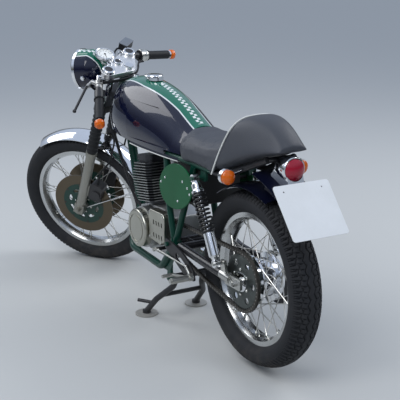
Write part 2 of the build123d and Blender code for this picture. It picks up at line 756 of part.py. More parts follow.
tank = loft([tank_section(*row) for row in tank_sections])
core = loft([tank_section(*row, inset=knee_depth if row[0] > 0.5 else -0.5) for row in tank_sections])
knee_line = [(tank_rear_x + x, z) for x, z in knee_corners]
knee = fillet(make_face(Polyline(*knee_line, close=True)).vertices(), 22)
for side in (1, -1):
    tank -= slab(knee, *sorted((side * 60, side * 140))) - core
tunnel_line = [
    (tank_front_x + 20, 600), (tank_rear_x - 20, 600), (tank_rear_x - 20, rail_z + rail_radius + 6),
    (joint_x - 40, spine_rear.Z + 34), (tank_front_x + 20, spine_front.Z + 30)]
tank -= slab(make_face(Polyline(*tunnel_line, close=True)), -tank_tunnel_half, tank_tunnel_half)
tank_pan = slab(make_face(Polyline((tank_rear_x - 20, 690), (tank_rear_x - 20, rail_z + rail_radius + 6),
    (joint_x + 24, rail_z + rail_radius + 6), (joint_x + 24, 690), close=True)), -rail_y - 22, rail_y + 22)
tank -= tank_pan
keep("fuel_tank", tank)

cap_place = Location((tank_front_x - cap_share * tank_length, 0, 941.7), (0, -2, 0))
cap = Pos(0, 0, 0) * Cylinder(38, 8, align=(Align.CENTER, Align.CENTER, Align.MIN))
cap += Pos(0, 0, 8) * Cylinder(32, 9, align=(Align.CENTER, Align.CENTER, Align.MIN))
keep("fuel_cap", cap_place * cap)


# Seat cushion and the hump behind it

seat_rear_x = hump_front_x + soft_clearance
seat_outline = Polyline(
    (seat_front_x, seat_base_z), (seat_front_x, 806), (330, 802), (220, 806), (hump_front_x - 20, 846),
    (hump_front_x - 20, 790), (seat_rear_x, 790), (seat_rear_x, seat_base_z), close=True)


# x, base height, base half width, top height, top half width
hump_sections = [
    (hump_front_x, seat_base_z, seat_half_width, 800, 112),
    (30, seat_base_z + 34, 118, hump_top_z - 14, 84),
    (-40, seat_base_z + 64, 108, hump_top_z + 4, 76),
    (-100, seat_base_z + 88, 92, hump_top_z - 4, 64),
    (-155, seat_base_z + 106, 70, hump_top_z - 42, 50),
    (-192, seat_base_z + 114, 56, hump_top_z - 84, 42),
]


def hump_section(x, low_z, low_y, top, shoulder_y):
    """One cross-section of the hump: straight floor, leaning sides and a round top."""
    shoulder_z = top - 0.26 * (top - low_z)
    edges = Line((-low_y, low_z), (low_y, low_z))
    edges += Line((low_y, low_z), (shoulder_y, shoulder_z))
    edges += ThreePointArc((shoulder_y, shoulder_z), (0, top), (-shoulder_y, shoulder_z))
    edges += Line((-shoulder_y, shoulder_z), (-low_y, low_z))
    plane = Plane(origin=(x, 0, 0), x_dir=(0, 1, 0), z_dir=(1, 0, 0))
    return plane * make_face(edges)


hump = loft([hump_section(*row) for row in hump_sections])
keep("seat_hump", hump)
seat = slab(make_face(seat_outline), -seat_half_width, seat_half_width) - offset(hump, soft_clearance)
seat = fillet(seat.edges().filter_by(Axis.Y, reverse=True).group_by(Axis.Z)[-1], 6)
keep("seat_cushion", seat)


# Side covers on the box behind the engine, and the rear mudguard

box_front = pivot_x - cradle_radius - 7
box_rear = box_front - 150
box_half = frame_plate_y - frame_tube_radius - fit_clearance
box_high = rail_z - rail_radius - 1
cover_z = (box_low + box_high) / 2 - cover_drop
electrics = Pos((box_front + box_rear) / 2, 0, (box_low + box_high) / 2) * Box(
    box_front - box_rear, 2 * box_half, box_high - box_low)
electrics = fillet(electrics.edges().filter_by(Axis.Y), 12)
for x, z in ((box_rear + 26, cover_z + 24), (box_front - 26, cover_z - 24)):
    electrics += drum(6, -cover_y + fit_clearance, cover_y - fit_clearance, x, z)
keep("electrics_box", electrics)

cover_shape = Pos(cover_x, cover_z) * Rot(0, 0, -cover_tilt) * Ellipse(cover_half_length, cover_half_height)
side_cover = slab(cover_shape, cover_y, cover_y + cover_thickness)
side_cover = fillet(side_cover.edges().group_by(Axis.Y)[-1], 2)
keep("side_covers", *mirrored(side_cover))


def arc_sheet(radius, half, edge_drop, sheet, start_angle, sweep_angle):
    """A mudguard: a crowned strip turned about Y, from one polar angle to another."""
    inner = [(radius - edge_drop, half), (radius, 0), (radius - edge_drop, -half)]
    outer = [(r + sheet, y * (half + sheet * 0.3) / half) for r, y in inner]
    edges = ThreePointArc(*inner)
    edges += Line(inner[2], outer[2])
    edges += ThreePointArc(*reversed(outer))
    edges += Line(outer[0], inner[0])
    strip = revolve(make_face(edges), Axis.Y, sweep_angle)
    return Rot(0, -start_angle - (0 if sweep_angle < 0 else sweep_angle), 0) * strip


rear_guard = arc_sheet(
    rear_guard_radius, rear_guard_half, 12, 3, rear_guard_start, rear_guard_end - rear_guard_start)
tail_tray = arc_sheet(
    tail_tray_radius, tail_tray_half, 8, 3, tail_tray_start, tail_tray_end - tail_tray_start)
rear_guard = rear_wheel_place * (rear_guard + tail_tray)
slope = math.radians(plate_slope)
plate_down = Vector(-math.sin(slope), 0, -math.cos(slope))
plate_out = Vector(-math.cos(slope), 0, math.sin(slope))
plate_mid = Vector(plate_top[0], 0, plate_top[1]) + plate_down * (plate_tall / 2)
plate_frame = Plane(origin=plate_mid, x_dir=(0, -1, 0), z_dir=plate_out)
backing = plate_frame * Pos(0, 0, -plate_gap - backing_sheet) * extrude(
    RectangleRounded(plate_width - 10, plate_tall - 10, 6), amount=backing_sheet)
web_outline = Polyline((-60, 676), (-60, 742), (-150, 718), (-228, 681), (-246, 732), (-360, 610), (-250, 630),
                       (-127, 658), close=True)
webs = slab(make_face(web_outline), -24, -20) + slab(make_face(web_outline), 20, 24)
webs -= plate_frame * Pos(0, 0, -plate_gap) * extrude(Rectangle(400, 400), amount=100)
plate_holes = [Pos(side * plate_hole_spacing / 2, plate_tall / 2 - plate_hole_drop) * Circle(plate_hole_radius)
               for side in (1, -1)]
plate_holes = plate_frame * Pos(0, 0, -8) * extrude(Sketch() + plate_holes, amount=20)
rear_guard = rear_guard + (backing - plate_holes) + webs
keep("rear_mudguard", rear_guard)

plate = plate_frame * extrude(RectangleRounded(plate_width, plate_tall, 10), amount=plate_sheet)
plate -= plate_holes
keep("number_plate", plate)

# The tail lamp: a chrome cup with a domed red lens, on the bracket above the plate
lamp_cup = bar((-126, 0, tail_lamp_z), (tail_lamp_x, 0, tail_lamp_z), tail_lamp_radius - 3)
lamp_cup = fillet(lamp_cup.edges().group_by(Axis.X)[-1], 10)
pedestal = Polyline((-108, 742), (-140, tail_lamp_z + 4), (tail_lamp_x, tail_lamp_z + 4), (-226, 680), (-120, 680),
                    close=True)
pedestal = slab(make_face(pedestal), -32, 32)
pedestal = fillet(pedestal.edges().filter_by(Axis.Y, reverse=True).group_by(Axis.Z)[-1], 8)
pedestal -= drum(tail_tray_radius + 3 + fit_clearance, -60, 60, 0, rear_axle_z)
pedestal -= bar((tail_lamp_x, 0, tail_lamp_z), (tail_lamp_x - 40, 0, tail_lamp_z), tail_lamp_radius + 0.5)
lamp_cup += pedestal
lens_edges = Line((-fit_clearance, 0), (-fit_clearance, tail_lamp_radius))
lens_edges += Line((-fit_clearance, tail_lamp_radius), (-9, tail_lamp_radius - 1))
lens_edges += dome(-9, tail_lamp_radius - 1, -22) + Line((-22, 0), (-fit_clearance, 0))
keep("tail_lamp", lamp_cup)
keep("tail_lens", Pos(tail_lamp_x, 0, tail_lamp_z) * turned(lens_edges))

rear_lamps = []
rear_lenses = []
cup_edges = Line((-16, 0), (-16, rear_lamp_radius)) + Line((-16, rear_lamp_radius), (0, rear_lamp_radius))
cup_edges += dome(0, rear_lamp_radius, 22) + Line((22, 0), (-16, 0))
glass_x = -16 - fit_clearance
glass_radius = rear_lamp_radius - 3
glass_edges = Line((glass_x, 0), (glass_x, glass_radius)) + Line((glass_x, glass_radius), (-24, glass_radius))
glass_edges += dome(-24, glass_radius, -35) + Line((-35, 0), (glass_x, 0))
for side in (1, -1):
    place = Pos(rear_lamp_x, side * rear_lamp_y, rear_lamp_z)
    stalk = bar((0, side * (86 - rear_lamp_y), 14), (0, -side * 8, 0), 6)
    rear_lamps.append(place * (turned(cup_edges) + stalk))
    rear_lenses.append(place * turned(glass_edges))
keep("indicator_lenses", *rear_lenses)
keep("rear_indicators", *rear_lamps)


# Rear-set footrests with the gear lever and the brake lever

rear_sets = []
for side in (1, -1):
    near = hanger_y
    hanger_outline = Polyline(
        (pivot_x + 24, pivot_z - 18), (pivot_x + 20, pivot_z + 20), (pivot_x - 40, pivot_z + 14),
        (pivot_x - 110, pivot_z - 4), (peg_x + 28, peg_z + 50), (peg_x - 6, peg_z + 24), (peg_x - 18, peg_z - 14),
        (peg_x + 44, peg_z - 18), close=True)
    hanger_face = fillet(make_face(hanger_outline).vertices(), 9)
    hanger_face -= Pos(pivot_x, pivot_z) * Circle(pivot_bolt_radius + fit_clearance)
    window = Pos((pivot_x + peg_x) / 2 - 4, (pivot_z + peg_z) / 2) * Rot(0, 0, 24) * SlotOverall(80, 22)
    low, high = sorted((side * near, side * (near + 6)))
    hanger = slab(hanger_face - window, low, high)
    peg = drum(9, *sorted((side * near, side * (near + 100))), peg_x, peg_z)
    peg += drum(12, *sorted((side * (near + 26), side * (near + 94))), peg_x, peg_z)
    tip_z = gear_tip_z if side > 0 else brake_tip_z
    lever_y = side * (near + 13)
    lever = bar((peg_x, lever_y, peg_z), (lever_tip_x, lever_y, tip_z), 5)
    lever += drum(14, *sorted((side * (near + 5), side * (near + 20))), peg_x, peg_z)
    lever += drum(7, *sorted((side * (near + 5), side * (near + 56))), lever_tip_x, tip_z)
    rear_set = hanger + peg + lever
    if side > 0:
        arm_top = (peg_x + 34, lever_y, peg_z + 32)
        shaft_arm = (shift_x - 34, lever_y, shift_z + 6)
        rear_set += bar((peg_x, lever_y, peg_z), arm_top, 5) + bar(arm_top, shaft_arm, 3.5)
        rear_set += bar(shaft_arm, (shift_x, lever_y, shift_z), 5)
        rear_set += Pos(*arm_top) * Sphere(7) + Pos(*shaft_arm) * Sphere(7)
        rear_set += drum(7, 62.3, lever_y + 7, shift_x, shift_z)
    rear_sets.append(rear_set)
keep("rear_sets", *rear_sets)


# Shock absorbers: damper bodies with eyes, and the springs around them

damper_parts = []
spring_parts = []
shock_run = Vector(shock_top[0] - shock_bottom[0], 0, shock_top[1] - shock_bottom[1])
shock_length = shock_run.length
for side in (1, -1):
    base = Vector(shock_bottom[0], side * shock_y, shock_bottom[1])
    shock_place = Plane(origin=base, x_dir=(0, 1, 0), z_dir=shock_run)
    profile = [
        (0, 10), (11, 10), (14, 22), (shroud_radius, 28), (shroud_radius, shroud_top), (8, shroud_top),
        (8, spring_high), (spring_radius + 2, spring_high), (spring_radius + 2, spring_high + 8),
        (19, spring_high + 14), (19, shock_length - 22), (11, shock_length - 10), (0, shock_length - 10)]
    body = revolve(Plane.XZ * make_face(Polyline(*profile, close=True)), Axis.Z, 360)
    body = shock_place * body
    eyes = drum(15, side * shock_y - 11, side * shock_y + 11, *shock_bottom)
    eyes += drum(15, side * shock_y - 11, side * shock_y + 11, *shock_top)
    body += eyes
    body -= drum(7 + fit_clearance, side * shock_y - 20, side * shock_y + 20, *shock_bottom)
    body -= drum(8 + fit_clearance, side * shock_y - 20, side * shock_y + 20, *shock_top)
    damper_parts.append(body)
    low = shroud_top + fit_clearance
    turn = (spring_high - fit_clearance - low) / spring_turns
    outline = [(spring_radius - 2 * spring_wire - 2, low)]
    for i in range(spring_turns):
        outline += [(spring_radius - 5, low + i * turn), (spring_radius, low + (i + 0.3) * turn),
                    (spring_radius, low + (i + 0.6) * turn)]
    outline += [(spring_radius - 5, low + spring_turns * turn),
                (spring_radius - 2 * spring_wire - 2, low + spring_turns * turn)]
    coil = revolve(Plane.XZ * make_face(Polyline(*outline, close=True)), Axis.Z, 360)
    spring_parts.append(shock_place * coil)
keep("shock_bodies", *damper_parts)
keep("shock_springs", *spring_parts)


# Centre stand: a pivot tube, two splayed legs, a cross tube and round foot plates

stand = drum(13, -stand_tube_half, stand_tube_half, stand_pivot_x, stand_pivot_z)
for side in (1, -1):
    leg_line = [(stand_pivot_x + x, side * y, stand_pivot_z + z) for x, y, z in stand_leg_bends]
    leg_line += [(stand_foot_x, side * stand_foot_y, stand_pad_thickness + 6)]
    stand += bent_bar(leg_line, 40, stand_tube_radius)
    pad = Pos(stand_foot_x, side * stand_foot_y, 0) * Cylinder(
        stand_pad_radius, stand_pad_thickness, align=(Align.CENTER, Align.CENTER, Align.MIN))
    heel = Pos(stand_foot_x - 2, side * stand_foot_y, stand_pad_thickness) * Cylinder(
        17, 12, align=(Align.CENTER, Align.CENTER, Align.MIN))
    stand += pad
    stand += heel
cross_x = stand_pivot_x + 62
cross_z = stand_pivot_z - 92
stand += drum(9, -94, 94, cross_x, cross_z)
stand += bar((cross_x + 56, 114, 62), (cross_x + 98, 152, 66), 7)
stand -= drum(stand_pin_radius + fit_clearance, -stand_hanger_y, stand_hanger_y, stand_pivot_x, stand_pivot_z)
keep("centre_stand", stand)


# The throttle and clutch cables run from the steering head to the engine

cable_run = [
    (1031, 32.4, 851), (1050, 50, 771), (1066, 60, 689), (1010, 60, 606), (926, 60, 500), (870, 54, 424),
    (crank_x + 102, 48, crank_z + 45)]
second_run = [(x, y - 2 * cable_radius - fit_clearance, z) for x, y, z in cable_run]
cables = [bent_bar(run, [60, 60, 60, 60, 30], cable_radius) for run in (cable_run, second_run)]
keep("control_cables", *cables)


# Front end: everything below is drawn in the steering frame and turned by the lock

def up_bar(radius, low, high, x=0, y=0):
    """A cylinder along the steering axis."""
    return Pos(x, y, low) * Cylinder(radius, high - low, align=(Align.CENTER, Align.CENTER, Align.MIN))


def yoke_plate(stem_r, leg_r, low, thickness):
    """A plate that wraps the stem and both fork legs."""
    rims = [Circle(stem_r).edge(), (Pos(fork_offset, fork_half_spacing) * Circle(leg_r)).edge(),
            (Pos(fork_offset, -fork_half_spacing) * Circle(leg_r)).edge()]
    return Pos(0, 0, low) * extrude(make_hull(rims), amount=thickness)


def leg_hole(radius, y):
    """A cutter along one fork leg, longer than any piece."""
    return up_bar(radius, 0, 2 * top_yoke_bottom, fork_offset, y)


leg_bore = stanchion_radius + press_clearance
yoke_top_z = top_yoke_bottom + top_yoke_thickness
lower_yoke = yoke_plate(26, 30, lower_yoke_bottom, lower_yoke_thickness)
top_yoke = yoke_plate(30, 28, top_yoke_bottom, top_yoke_thickness)
for side in (1, -1):
    lower_yoke -= leg_hole(leg_bore, side * fork_half_spacing)
    top_yoke -= leg_hole(leg_bore, side * fork_half_spacing)
lower_yoke += up_bar(stem_radius, lower_yoke_bottom, yoke_top_z + 4)
lower_yoke += Pos(0, 0, yoke_top_z + fit_clearance) * extrude(RegularPolygon(19, 6), amount=9)
top_yoke -= up_bar(stem_radius + press_clearance, 0, 2 * top_yoke_bottom)
top_yoke = fillet(top_yoke.edges().group_by(Axis.Z)[-1].filter_by(GeomType.LINE), 3)
keep("lower_yoke", steer(lower_yoke))
keep("top_yoke", steer(top_yoke))

stanchions = []
sliders = []
gaiters = []
for side in (1, -1):
    y = side * fork_half_spacing
    stanchion = up_bar(stanchion_radius, slider_top + fit_clearance, yoke_top_z + 4, fork_offset, y)
    stanchion += up_bar(21, yoke_top_z + fit_clearance, yoke_top_z + fork_cap_height, fork_offset, y)
    stanchions.append(steer(stanchion))
    slider = up_bar(slider_radius, slider_bottom, slider_top, fork_offset, y)
    slider += up_bar(slider_radius + slider_collar, slider_top - 20, slider_top, fork_offset, y)
    slider += Pos(fork_offset, y, 0) * Box(46, 38, 50)
    slider += Pos(22 + fit_clearance, side * 90, caliper_z) * Box(26, 20, 56, align=(Align.MIN, Align.CENTER, Align.CENTER))
    slider -= Pos(fork_offset, 0, 0) * drum(axle_radius + axle_clearance, y - 40, y + 40)
    sliders.append(steer(slider))
    low = slider_top + fit_clearance
    step = (gaiter_top - low) / gaiter_folds
    outline = [(stanchion_radius + 0.3, low)]
    for i in range(gaiter_folds):
        outline += [(gaiter_radius - 4, low + i * step), (gaiter_radius, low + (i + 0.5) * step)]
    outline += [(gaiter_radius - 4, gaiter_top), (stanchion_radius + 0.3, gaiter_top)]
    gaiter = revolve(Plane.XZ * make_face(Polyline(*outline, close=True)), Axis.Z, 360)
    gaiters.append(steer(Pos(fork_offset, y, 0) * gaiter))
outer_y = fork_half_spacing + slider_radius
front_axle = drum(axle_radius, -outer_y - 14, outer_y + 14)
nut = slab(RegularPolygon(13, 6), outer_y + fit_clearance, outer_y + 10)
front_axle += nut + mirror(nut, about=Plane.XZ)
inner_y = fork_half_spacing - slider_radius - fit_clearance
spacer = slab(Circle(14) - Circle(axle_radius - 0.5), disc_y + 6 + fit_clearance, inner_y)
front_axle += spacer + mirror(spacer, about=Plane.XZ)
keep("fork_stanchions", *stanchions)
keep("fork_sliders", *sliders, steer(Pos(fork_offset, 0, 0) * front_axle))
keep("fork_gaiters", *gaiters)

calipers = []
for side in (1, -1):
    low, high = sorted((side * 44, side * 97))
    caliper = Pos(-8, (low + high) / 2, caliper_z) * Box(60, high - low, 84)
    caliper = fillet(caliper.edges().filter_by(Axis.Y), 12)
    low, high = sorted((side * (disc_y - 5), side * (disc_y + 5)))
    caliper -= Pos(fork_offset, 0, 0) * drum(disc_radius + 4, low, high)
    pot = Pos(-14, 0, caliper_z - 6) * drum(20, *sorted((side * 96, side * 104)))
    calipers.append(steer(caliper + pot))
keep("brake_calipers", *calipers)

front_guard = arc_sheet(guard_radius, guard_half_width, 20, guard_sheet, guard_start, guard_end - guard_start)
front_guard = Pos(fork_offset, 0, 0) * front_guard
for side in (1, -1):
    stay_y = fork_inner_y - slider_collar - fit_clearance
    front_guard += up_bar(6, slider_top - 18, slider_top + 12, fork_offset, side * 52)
    front_guard += Pos(fork_offset, 0, slider_top - 10) * drum(4.5, *sorted((side * 53, side * stay_y)))
    tail_angle = math.radians(guard_end - 6)
    edge_r = guard_radius - 19
    top = (fork_offset + edge_r * math.cos(tail_angle), side * 56, edge_r * math.sin(tail_angle))
    front_guard += bar(top, (20.8, side * 80, 6), 3)
keep("front_mudguard", steer(front_guard))

lamp_place = Location((lamp_x, 0, lamp_z), (0, rake, 0))
shell_back = -60
shell_front = 44
shell_edges = Line((shell_back, 0), (shell_back, 14))
shell_edges += ThreePointArc((shell_back, 14), (-38, 58), (-6, lamp_radius - 5))
shell_edges += Line((-6, lamp_radius - 5), (shell_front, lamp_radius - 3))
shell_edges += Line((shell_front, lamp_radius - 3), (shell_front, 0))
shell_edges += Line((shell_front, 0), (shell_back, 0))
shell = turned(shell_edges)
shell = lamp_place * shell
for side in (1, -1):
    y = side * fork_half_spacing
    ring = up_bar(23, bracket_low, bracket_low + 22, fork_offset, y)
    ring -= leg_hole(leg_bore, y)
    low, high = sorted((side * 90, side * 94))
    arm_line = Polyline((fork_offset + 20, bracket_low), (fork_offset + 20, bracket_low + 22),
                        (lamp_x + 4, lamp_z + 12), (lamp_x + 4, lamp_z - 12), close=True)
    arm = slab(make_face(arm_line), low, high)
    bolt = drum(9, *sorted((side * (lamp_radius - 8), side * 98)), lamp_x, lamp_z)
    shell += ring + arm + bolt
keep("headlamp_shell", steer(shell))

rim_front = shell_front + fit_clearance
rim_edges = Line((rim_front, 0), (rim_front, lamp_radius))
rim_edges += Line((rim_front, lamp_radius), (rim_front + 12, lamp_radius))
rim_edges += ThreePointArc((rim_front + 12, lamp_radius), (rim_front + 17, lamp_radius - 4), (rim_front + 18, lamp_radius - 11))
rim_edges += dome(rim_front + 18, lamp_radius - 11, rim_front + 30)
rim_edges += Line((rim_front + 30, 0), (rim_front, 0))
lamp_front = turned(rim_edges)
keep("headlamp_glass", steer(lamp_place * lamp_front))

gauge = up_bar(gauge_radius, gauge_z - gauge_depth, gauge_z, gauge_x, 0)
gauge = fillet(gauge.edges().group_by(Axis.Z)[0], 5)
gauge -= up_bar(gauge_radius - 5, gauge_z - 3, gauge_z + 1, gauge_x, 0)
gauge += Pos(gauge_x - gauge_radius - 2, 0, yoke_top_z + 2) * Box(30, 30, 3.4)
keep("speedometer", steer(gauge))

bars = []
grips = []
end_lamps = []
controls = []
for side in (1, -1):
    start = Vector(bar_start[0], side * bar_start[1], bar_start[2])
    end = Vector(bar_end[0], side * bar_end[1], bar_end[2])
    along = (end - start).normalized()
    reach = (end - start).length
    leg_y = side * fork_half_spacing
    clip = up_bar(27, clip_bottom, clip_bottom + clip_height, fork_offset, leg_y)
    clip += bar(start - along * 6, end, bar_radius)
    clip -= leg_hole(leg_bore, leg_y)
    bars.append(steer(clip))
    grip_end = end - along * 3
    grip_start = grip_end - along * grip_length
    grip = bar(grip_start, grip_end, grip_radius) - bar(start, end + along * 9, bar_radius + 0.1)
    grip += bar(grip_start, grip_start + along * 5, grip_radius + 4) - bar(start, end, bar_radius + 0.1)
    grips.append(steer(grip))
    lamp = cone_bar(end + along * 0.3, end + along * 12, 13, end_lamp_radius)
    lamp += bar(end + along * 12, end + along * (end_lamp_length - 8), end_lamp_radius)
    lamp += cone_bar(end + along * (end_lamp_length - 8), end + along * end_lamp_length, end_lamp_radius, 13)
    end_lamps.append(steer(lamp))
    perch_from = start + along * 26
    perch = bar(perch_from, perch_from + along * 22, 17)
    pivot = perch_from + along * 11 + Vector(34, 0, -4)
    perch += bar(perch_from + along * 11, pivot, 9)
    lever_tip = Vector(lever_end[0], side * lever_end[1], lever_end[2])
    knee = pivot + Vector(6, side * 30, -14)
    perch += bar(pivot, knee, 6) + bar(knee, lever_tip, 5.5)
    perch += Pos(*tuple(lever_tip)) * Sphere(8)
    housing_from = grip_start - along * 44
    perch_two = bar(housing_from, grip_start - along * 1, 24 if side < 0 else 20)
    perch_two += bar(perch_from + along * 15, housing_from + along * 4, 15)
    perch = perch + perch_two
    if side < 0:
        pot_base = perch_from + along * 11 + Vector(30, 0, 0)
        perch += bar(pot_base, pot_base + Vector(0, 0, 30), 10)
        perch += Pos(*tuple(pot_base + Vector(0, 0, 44))) * Box(38, 60, 32)
    boss = perch_from + along * 11
    perch += bar(boss, boss + Vector(0, 0, mirror_boss_top), 10)
    perch -= bar(boss + Vector(0, 0, mirror_boss_top - mirror_hole_depth), boss + Vector(0, 0, mirror_boss_top + 1),
                 mirror_hole_radius)
    perch -= bar(start - along * 20, end + along * 20, bar_radius + 0.15)
    controls.append(steer(perch))
keep("handlebars", *bars)
keep("grips", *grips)
keep("bar_end_lamps", *end_lamps)
keep("hand_controls", *controls)


# Brake hoses: one from the master cylinder to the lower yoke, and one down to each calliper

caliper_top = caliper_z + 42 + 3 * fit_clearance
main_hose = [(98.4, -143.7, 716), (120, -143.7, 716), (112, -96, 722), (84, -32, 700), (66, -24, 630),
             (66, -24, lower_yoke_bottom + lower_yoke_thickness + fit_clearance)]
hoses = [bent_bar(main_hose, [14, 24, 34, 28], hose_radius)]
for side in (1, -1):
    line = [(16, 52, lower_yoke_bottom - 2 * fit_clearance), (16, 54, 490), (-36, 68, 400), (-34, 70, 290),
            (-6, 80, 215), (-8, 84, caliper_top)]
    hoses.append(bent_bar([(x, side * y, z) for x, y, z in line], [50, 60, 60, 40], hose_radius))
keep("brake_hoses", *[steer(hose) for hose in hoses])


# Move everything so that the origin is at the bottom centre of the whole model's box

boxes = [shape.bounding_box() for shape in nodes.values()]
low_x = min(b.min.X for b in boxes)
high_x = max(b.max.X for b in boxes)
low_y = min(b.min.Y for b in boxes)
high_y = max(b.max.Y for b in boxes)
low_z = min(b.min.Z for b in boxes)
shift = Vector(-(low_x + high_x) / 2, -(low_y + high_y) / 2, -low_z)

for name, shape in nodes.items():
    export_step(Location(shift) * shape, f"parts/{name}.step")
print("nodes", len(nodes), *nodes)
print("origin shift", round(shift.X, 3), round(shift.Y, 3), round(shift.Z, 3))
print("size", round(high_x - low_x), round(high_y - low_y), round(max(b.max.Z for b in boxes) - low_z))
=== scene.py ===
# %% [markdown]
# # A cafe racer motorcycle, dressed in Blender
#
# The solid model is already finished: wheels, frame, engine, tank and seat stand in real size, with their
# joints. This script loads it as a fixed frame and adds what the eye looks for. That is the paint and the
# chrome, the tyre treads, the upholstered seat, the coil springs, the chain pins, the screws and the
# instruments. Each step starts with a short note on the real thing, on ways to make it, and on why one way
# was taken.

# %% Load the motorcycle
import math

import bmesh
import bpy
from mathutils import Matrix, Vector


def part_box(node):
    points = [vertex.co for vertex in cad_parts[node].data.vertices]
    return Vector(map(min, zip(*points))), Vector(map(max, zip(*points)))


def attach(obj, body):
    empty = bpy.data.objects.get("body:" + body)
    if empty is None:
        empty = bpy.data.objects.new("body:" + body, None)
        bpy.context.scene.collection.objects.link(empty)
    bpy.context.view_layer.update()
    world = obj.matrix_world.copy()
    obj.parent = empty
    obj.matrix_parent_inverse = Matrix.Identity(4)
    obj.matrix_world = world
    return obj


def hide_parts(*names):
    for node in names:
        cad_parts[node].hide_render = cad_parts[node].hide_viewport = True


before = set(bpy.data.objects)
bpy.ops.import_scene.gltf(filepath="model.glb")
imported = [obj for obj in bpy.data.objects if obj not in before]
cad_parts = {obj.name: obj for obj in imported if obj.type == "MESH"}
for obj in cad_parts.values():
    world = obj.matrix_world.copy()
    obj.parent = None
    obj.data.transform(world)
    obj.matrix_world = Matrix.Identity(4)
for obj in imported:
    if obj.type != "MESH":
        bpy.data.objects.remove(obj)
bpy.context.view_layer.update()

# %% [markdown]
# ## Where things are
#
# A motorcycle is measured from its rear axle, so the script does the same: x runs forward from the rear
# axle, y to the rider's left, z up from the ground, all in millimetres. The rear tyre's box gives the
# axle's place in the scene, which keeps every later number readable. The fork has a frame of its own,
# leaned back by the rake and turned to the left stop. Pieces of the front end are drawn in it as if the
# wheel pointed straight ahead.

# %% The motorcycle's own frame and the steering frame
MM = 0.001
tyre_low, tyre_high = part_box("rear_tyre")
rear_axle = (Vector(tyre_low) + Vector(tyre_high)) / 2
rear_axle_height = 336
ground = rear_axle - Vector((0, 0, rear_axle_height * MM))

wheelbase = 1400
front_axle_height = 320.7
rake = math.radians(27)
steering_lock = math.radians(39)
fork_offset = 48
steer_origin = Vector((wheelbase - fork_offset * math.cos(rake), 0,
                       front_axle_height - fork_offset * math.sin(rake)))

bike_frame = Matrix.Translation(ground) @ Matrix.Scale(MM, 4)
rear_wheel_frame = bike_frame @ Matrix.Translation((0, 0, rear_axle_height))
fork_frame = (bike_frame @ Matrix.Translation(steer_origin) @ Matrix.Rotation(-rake, 4, "Y")
              @ Matrix.Rotation(steering_lock, 4, "Z"))
front_wheel_frame = fork_frame @ Matrix.Translation((fork_offset, 0, 0))
front_low, front_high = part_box("front_tyre")
front_centre = (Vector(front_low) + Vector(front_high)) / 2
print("front axle", front_wheel_frame.translation, "tyre box centre", front_centre)

# %% [markdown]
# ## Camera
#
# The photograph looks at the motorcycle from behind its left side, a little above the seat. The place, the
# angles and the focal length were found by matching both wheels, the tank and the number plate to the
# picture. With the camera there, the render and the photograph can be laid side by side and compared piece
# by piece.

# %% Camera at the photograph's place
photo_width = 400
focal_length_in_pixels = 1069.5
sensor_width = 36
camera_place = Vector((-3004.3, 1971.0, 1603.6))
camera_yaw = math.radians(-29.897)
camera_dip = math.radians(15.29)
camera_tilt = math.radians(-0.2)

camera_data = bpy.data.cameras.new("photo_camera")
camera_data.sensor_width = sensor_width
camera_data.lens = focal_length_in_pixels / photo_width * sensor_width
camera_data.clip_end = 60
camera = bpy.data.objects.new("photo_camera", camera_data)
bpy.context.collection.objects.link(camera)
camera_turn = Matrix.Rotation(camera_yaw, 4, "Z") @ Matrix.Rotation(camera_dip, 4, "Y")
looking_forward = Matrix(((0, 0, -1, 0), (-1, 0, 0, 0), (0, 1, 0, 0), (0, 0, 0, 1)))
camera_aim = camera_turn @ looking_forward
camera_roll = Matrix.Rotation(camera_tilt, 4, "Z")
camera.matrix_world = Matrix.Translation(bike_frame @ camera_place) @ camera_aim @ camera_roll
bpy.context.scene.camera = camera
print("lens", round(camera_data.lens, 1), "mm")

# %% [markdown]
# ## Floor and light
#
# Chrome and glossy paint show what is around them, so the studio matters as much as the materials. A pale
# floor and three large soft lamps give broad reflections, and the world behind them runs from a darker
# horizon to a pale sky, which draws the dark and bright bands that make a tank look wet and a rim look
# polished.

# %% Floor
floor_half = 30
floor_drop = 0.0006
floor_grey = (0.5, 0.505, 0.49, 1)
floor_mesh = bmesh.new()
bmesh.ops.create_grid(floor_mesh, x_segments=1, y_segments=1, size=floor_half)
floor_data = bpy.data.meshes.new("floor")
floor_mesh.to_mesh(floor_data)
floor_mesh.free()
floor = bpy.data.objects.new("floor", floor_data)
floor.location = (0, 0, -floor_drop)
bpy.context.collection.objects.link(floor)

floor_paint = bpy.data.materials.new("studio_floor")
floor_paint.use_nodes = True
floor_shader = floor_paint.node_tree.nodes["Principled BSDF"]
floor_shader.inputs["Base Color"].default_value = floor_grey
floor_shader.inputs["Roughness"].default_value = 0.9
floor_data.materials.append(floor_paint)
print("floor", 2 * floor_half, "m wide")


# %% Lamps
def soft_lamp(name, place, aim, size, power):
    """A square area lamp at a place, aimed at a point, both in the motorcycle's millimetres."""
    data = bpy.data.lights.new(name, "AREA")
    data.size = size
    data.energy = power
    lamp = bpy.data.objects.new(name, data)
    lamp.location = bike_frame @ Vector(place)
    lamp.rotation_euler = (bike_frame @ Vector(aim) - lamp.location).to_track_quat("-Z", "Y").to_euler()
    bpy.context.collection.objects.link(lamp)


soft_lamp("key_lamp", (-1500, 3200, 4200), (500, 0, 450), 3.0, 120)
soft_lamp("fill_lamp", (3600, 1800, 3200), (700, 0, 500), 2.4, 50)
soft_lamp("rim_lamp", (300, -3600, 3600), (500, 0, 600), 2.4, 70)
print("lamps", len(bpy.data.lights))


